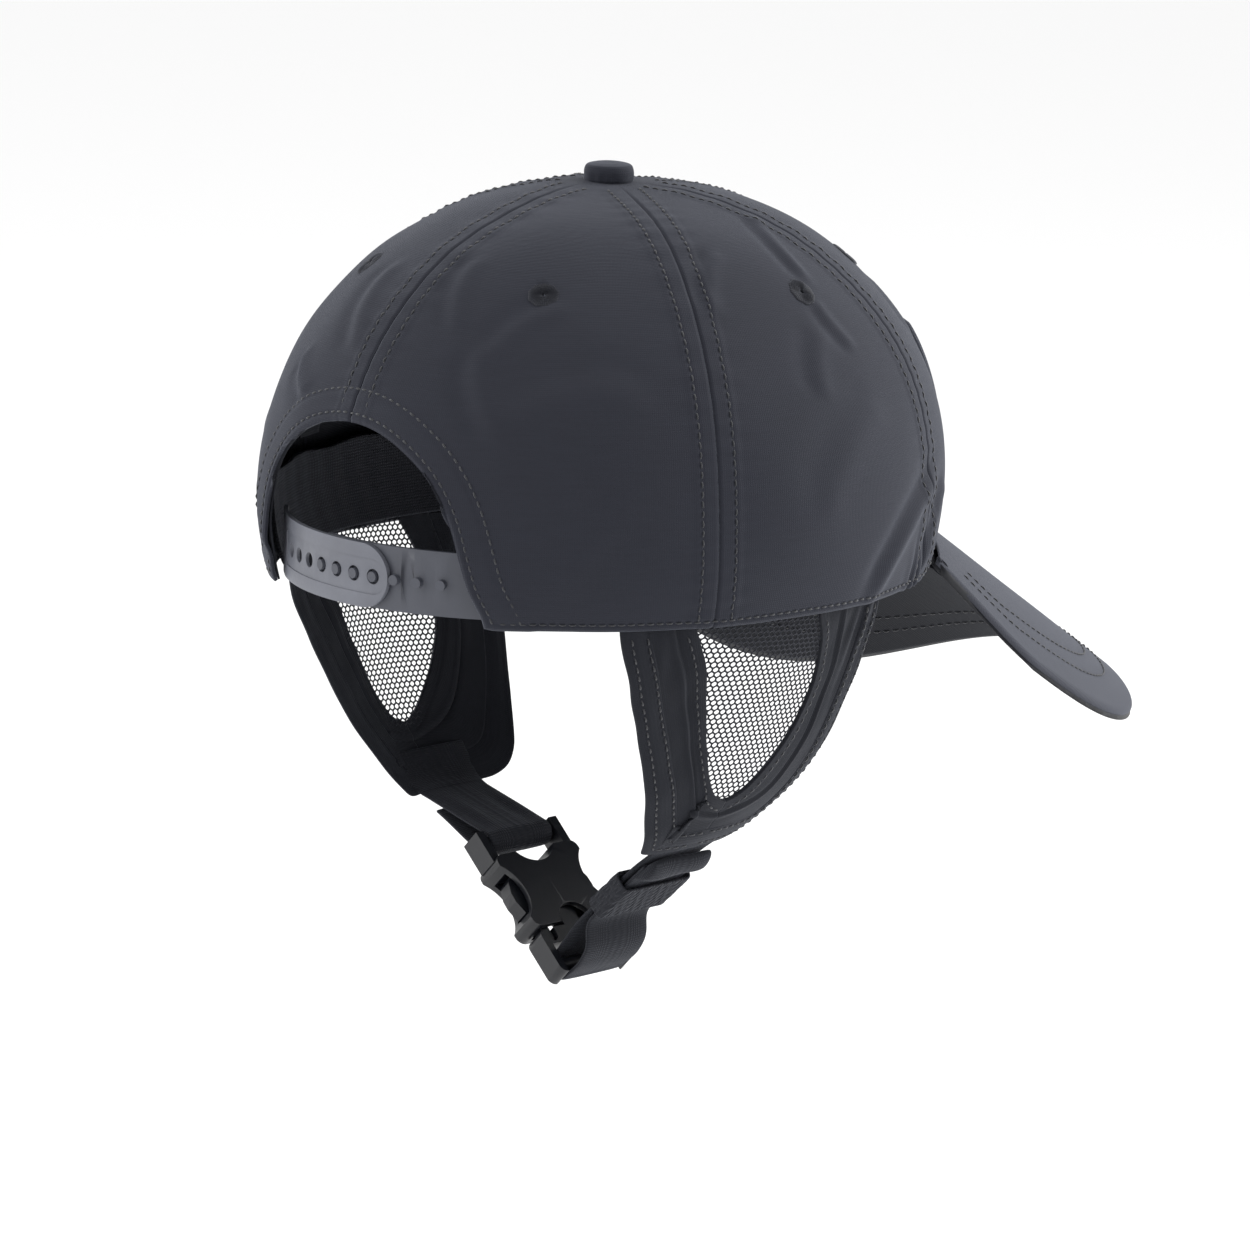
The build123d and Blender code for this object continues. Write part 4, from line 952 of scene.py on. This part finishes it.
def carry_web(name, line, thick, fold, body, cad_name, spread=0.0, round_over=0.8):
    """Webbing carried along a line of (x, z) points: a flat section with rounded edges at right
    angles to the line, lifted by fold, a function of distance along and place across. It spreads
    towards its sewn top by spread, and its ends thin out over round_over."""
    reach = np.concatenate([[0], np.cumsum(np.linalg.norm(np.diff(line, axis=0), axis=1))])
    way = np.gradient(line, axis=0)
    way /= np.linalg.norm(way, axis=1, keepdims=True)
    off = np.stack([-way[:, 1], way[:, 0]], 1)
    turn = np.linspace(0, 2 * np.pi, 57)[:-1]
    across = np.sign(np.cos(turn)) * np.abs(np.cos(turn)) ** 0.55
    high = np.sign(np.sin(turn)) * np.abs(np.sin(turn)) ** 0.45
    shut = np.sqrt(1 - (1 - np.clip(np.minimum(reach, reach[-1] - reach) / round_over, 0, 1)) ** 2)[:, None]
    top = (1 - swell(reach, 2, 19))[:, None]
    lift = fold(reach[:, None] + 0 * across, across[None, :] + 0 * shut)
    height = high[None, :] * thick / 2 * shut * 0.97 + lift
    x = line[:, None, 0] + off[:, None, 0] * height
    z = line[:, None, 1] + off[:, None, 1] * height
    square = 1 - 0.022 * round_over * (1 - shut)
    y = WEB_MIDDLE + 0.12 * spread * top + across[None, :] * (WEB_WIDE + spread * top) / 2 * square + 0 * x
    chart = np.stack(np.broadcast_arrays(np.linspace(0, 50, 57)[None, :], reach[:, None]), -1)
    web = lay_grid(name, np.stack([x, y, z], -1), chart, closed=True, skin=strap_cloth)
    bm = bmesh.new()
    bm.from_mesh(web.data)
    bmesh.ops.remove_doubles(bm, verts=bm.verts, dist=1e-6)
    bmesh.ops.recalc_face_normals(bm, faces=bm.faces)
    bm.to_mesh(web.data)
    bm.free()
    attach(web, body)
    if cad_name:
        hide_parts(cad_name)
    return web


def keeper_spot(s, t):
    """(x, z) at a distance along the keeper's run and out towards the return ply."""
    return KEEPER + s * RUN + t * SIDE


male_bar = BAR + 43.5 * AXIS
toward = keeper_spot(14, 0) - male_bar
lead = math.degrees(math.atan2(toward[1], toward[0]))
down = soften(dense([(-58.6, -61.0), (-54.6, -65.6), (-49.9, -69.6), (-45.0, -73.1), keeper_spot(-13, 0),
                     keeper_spot(14, 0),
                     bend(male_bar, 3.4, lead - 90, lead - 96, 2)[0]]), 14)
round_bar = bend(male_bar, 3.4, lead - 96, lead - 264, 34)
back = soften(dense([round_bar[-1], (-18.5, -109.5), (-22.3, -103.5), keeper_spot(14, PLY),
                     keeper_spot(-17, PLY)]), 14)
right_line = evenly(np.concatenate([down[:-1], round_bar, back[1:]]), 260)
carry_web("right_chin_webbing", right_line, WEB_THICK,
          lambda s, v: 0.3 * np.sin(v * 7.5 + s / 9) * np.exp(-((s - 57) / 9) ** 2)
          + 0.18 * np.sin(s / 4.3) * (1 - v ** 2)
          * (s < 14), "flap_right", "chin_strap_right", spread=5.0)
tail_line = dense([keeper_spot(-21.0, PLY + 1.3), keeper_spot(-15.6, PLY + 1.6),
                   keeper_spot(-11.6, PLY + 0.9)], 0.3)
carry_web("doubled_tail", tail_line, 4.6, lambda s, v: 0.25 * np.sin(v * 4 + s / 3), "flap_right", None,
          round_over=4.5)

lead = math.degrees(math.atan2(-72.5 + 81.0, 45.0 - 20.5))
left_round = bend(BAR, 3.3, lead + 96, lead + 264, 34)
left_down = soften(dense([(58.6, -61.0), (54.6, -65.6), (49.9, -69.4), (45.6, -71.2), (40.0, -72.6),
                          left_round[0]]), 14)
left_back = soften(dense([left_round[-1], (29.5, -80.2), (36.5, -76.6), (40.5, -74.8)]), 10)
left_line = evenly(np.concatenate([left_down, left_round[1:], left_back[1:]]), 200)
carry_web("left_chin_webbing", left_line, WEB_THICK,
          lambda s, v: 0.42 * np.sin(v * 9.4) * np.exp(-((s - 33) / 9) ** 2)
          + 0.15 * np.sin(s / 3.7 + v) * (s < 16),
          "crown", "chin_strap_left", spread=8.0)
tack_rows = []
for s in np.linspace(-1.6, 1.6, 3):
    y = np.linspace(WEB_MIDDLE - 10.5, WEB_MIDDLE + 10.5, 40)
    spot = np.array([37.2, -75.1]) + s * np.array([0.91, 0.41]) + np.array([0.37, -0.93]) * 1.9
    tack_rows.append((np.stack([spot[0] + 0 * y, y, spot[1] + 0 * y], 1), np.tile((0.37, 0, -0.93), (40, 1))))
tack = sew_rows("bar_tack", tack_rows)
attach(tack, "crown")


# ---------------------------------------------------------------- strap keeper
# A loop of ribbed elastic, 15 mm long, woven flat and joined end to end, that holds the two plies
# together and slides on them.
keeper_elastic = cloth_finish("keeper_elastic", (0.0074, 0.0084, 0.0128), pitch=1.15, relief=0.0004,
                              sheen=0.09, ribbed=1.0,
                              rough=0.75)
keeper_middle = keeper_spot(0, PLY / 2)


def rounded_loop(half_wide, half_high, corner, count=160):
    """A rectangle with round corners, as evenly spaced points that start half way along one long
    side."""
    quarter = np.radians(np.linspace(0, 90, 12))
    spots = []
    for cx, cy, first in ((1, 1, 0), (-1, 1, 90), (-1, -1, 180), (1, -1, 270)):
        a = quarter + np.radians(first)
        spots.append(np.stack([cx * (half_wide - corner) + corner * np.cos(a),
                               cy * (half_high - corner) + corner * np.sin(a)], 1))
    loop = np.concatenate([[(half_wide, 0.0)], *spots, [(half_wide, 0.0)]])
    return evenly(loop, count + 1)[:-1]


loop = rounded_loop(13.55, 3.45, 2.1)
s = np.linspace(-7.5, 7.5, 61)[:, None]
edge_roll = np.sqrt(np.clip(1 - ((np.abs(s) - 6.9) / 0.6).clip(0, 1) ** 2, 0, 1)) * 0.35 - 0.35
rib = 0.13 * np.sin((s / 0.95 + np.arange(160) / 160 * 2 * np.pi * 34)) * (np.abs(s) < 7.0) + edge_roll
normal = np.gradient(np.concatenate([loop[-1:], loop, loop[:1]]), axis=0)[1:-1]
normal = np.stack([normal[:, 1], -normal[:, 0]], 1) / np.linalg.norm(normal, axis=1, keepdims=True)
y = WEB_MIDDLE + loop[None, :, 0] + normal[None, :, 0] * rib
w = loop[None, :, 1] + normal[None, :, 1] * rib
bow = 0.25 * np.cos(s / 7.5 * np.pi / 2)
x = keeper_middle[0] + s * RUN[0] + w * (1 + 0 * bow) * SIDE[0]
z = keeper_middle[1] + s * RUN[1] + w * (1 + 0 * bow) * SIDE[1]
chart = np.stack(np.broadcast_arrays(np.linspace(0, 66, 161)[None, :], s), -1)
keeper = lay_grid("elastic_keeper", np.stack([x, y, z], -1), chart, closed=True,
                  away_from=(keeper_middle[0], WEB_MIDDLE, keeper_middle[1]), skin=keeper_elastic)
thicken(keeper, 1.1)
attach(keeper, "strap_keeper")
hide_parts("strap_keeper")


# ---------------------------------------------------------------- side-release buckle
# Two acetal mouldings: a housing with finger windows, and a fork whose two springy arms latch in
# them. Edges are broken by the mould.
acetal = hard_finish("satin_black_acetal", (0.0062, 0.0070, 0.0100), rough=0.33, grain=1500.0)
for name in ("buckle_female", "buckle_male", "release_arm_rear", "release_arm_front"):
    refinish(name, acetal, 0.7 if name == "buckle_female" else 0.55)


# ---------------------------------------------------------------- rear size straps
# Two moulded straps cross the rear opening: pegs on the right one press into holes in the left
# one, which has a raised border. Their other ends are sewn inside the crown.
outer_plastic = hard_finish("soft_grey_strap", (0.120, 0.126, 0.150), rough=0.48, grain=700.0)
# Both straps are the same grey plastic. The right one lies inside the left one and gets a darker copy of it:
# painted shade.
strap_plastic_painted_shade = hard_finish("strap_grey_painted_shade", (0.054, 0.058, 0.074), rough=0.5, grain=700.0)
refinish("snap_strap_left", outer_plastic, 0.22)
refinish("snap_strap_tab", outer_plastic, 0.22)
refinish("snap_strap_right", strap_plastic_painted_shade, 0.3)


# ---------------------------------------------------------------- table, lights and camera
# The cap is held above a flat pale floor under large soft lamps.
floor_mesh = bpy.data.meshes.new("pale_floor")
floor_mesh.from_pydata([(-14, -14, -0.30), (14, -14, -0.30), (14, 14, -0.30), (-14, 14, -0.30)], [],
                       [(0, 1, 2, 3)])
floor = bpy.data.objects.new("pale_floor", floor_mesh)
bpy.context.scene.collection.objects.link(floor)
pale = bpy.data.materials.new("pale_paper")
pale.use_nodes = True
pale.node_tree.nodes["Principled BSDF"].inputs["Base Color"].default_value = (0.93, 0.93, 0.93, 1)
pale.node_tree.nodes["Principled BSDF"].inputs["Roughness"].default_value = 0.9
floor_mesh.materials.append(pale)

sky = bpy.data.worlds.new("white_room")
sky.use_nodes = True
sky.node_tree.nodes["Background"].inputs["Color"].default_value = (1, 1, 1, 1)
sky.node_tree.nodes["Background"].inputs["Strength"].default_value = 1.0
bpy.context.scene.world = sky
bpy.context.scene.view_settings.view_transform = "Standard"

turn, tip_up, roll_by = math.radians(224.76), math.radians(11.82), math.radians(1.05)
back = Vector((math.sin(turn) * math.cos(tip_up), -math.cos(turn) * math.cos(tip_up), math.sin(tip_up)))
right = Vector((math.cos(turn), math.sin(turn), 0))
up = back.cross(right)
level = math.cos(roll_by) * right + math.sin(roll_by) * up
upright = -math.sin(roll_by) * right + math.cos(roll_by) * up
look_at = Vector((-0.00463, -0.00508, -0.01699))


def lamp(name, place, size, power):
    """A square soft lamp that faces the cap."""
    light = bpy.data.lights.new(name, "AREA")
    light.size, light.energy = size, power
    holder = bpy.data.objects.new(name, light)
    holder.matrix_world = Matrix.Translation(place) @ (-place).to_track_quat("-Z", "Y").to_matrix().to_4x4()
    bpy.context.scene.collection.objects.link(holder)


lamp("side_lamp", right * 1.5 + up * 0.9 - back * 0.2, 1.4, 23)
lamp("far_lamp", -right * 1.5 + up * 0.6 + back * 0.3, 1.2, 10)
lamp("top_lamp", up * 2.2 + back * 0.4, 2.0, 1.5)

lens = bpy.data.cameras.new("camera")
lens.sensor_width = 36.0
lens.lens = 6997.48 / 1250 * 36.0
lens.clip_start, lens.clip_end = 0.1, 60.0
camera = bpy.data.objects.new("camera", lens)
place = look_at + back * 1.99835
camera.matrix_world = Matrix(((level.x, upright.x, back.x, place.x), (level.y, upright.y, back.y, place.y),
                              (level.z, upright.z, back.z, place.z), (0, 0, 0, 1)))
bpy.context.scene.collection.objects.link(camera)
bpy.context.scene.camera = camera

bpy.context.view_layer.update()
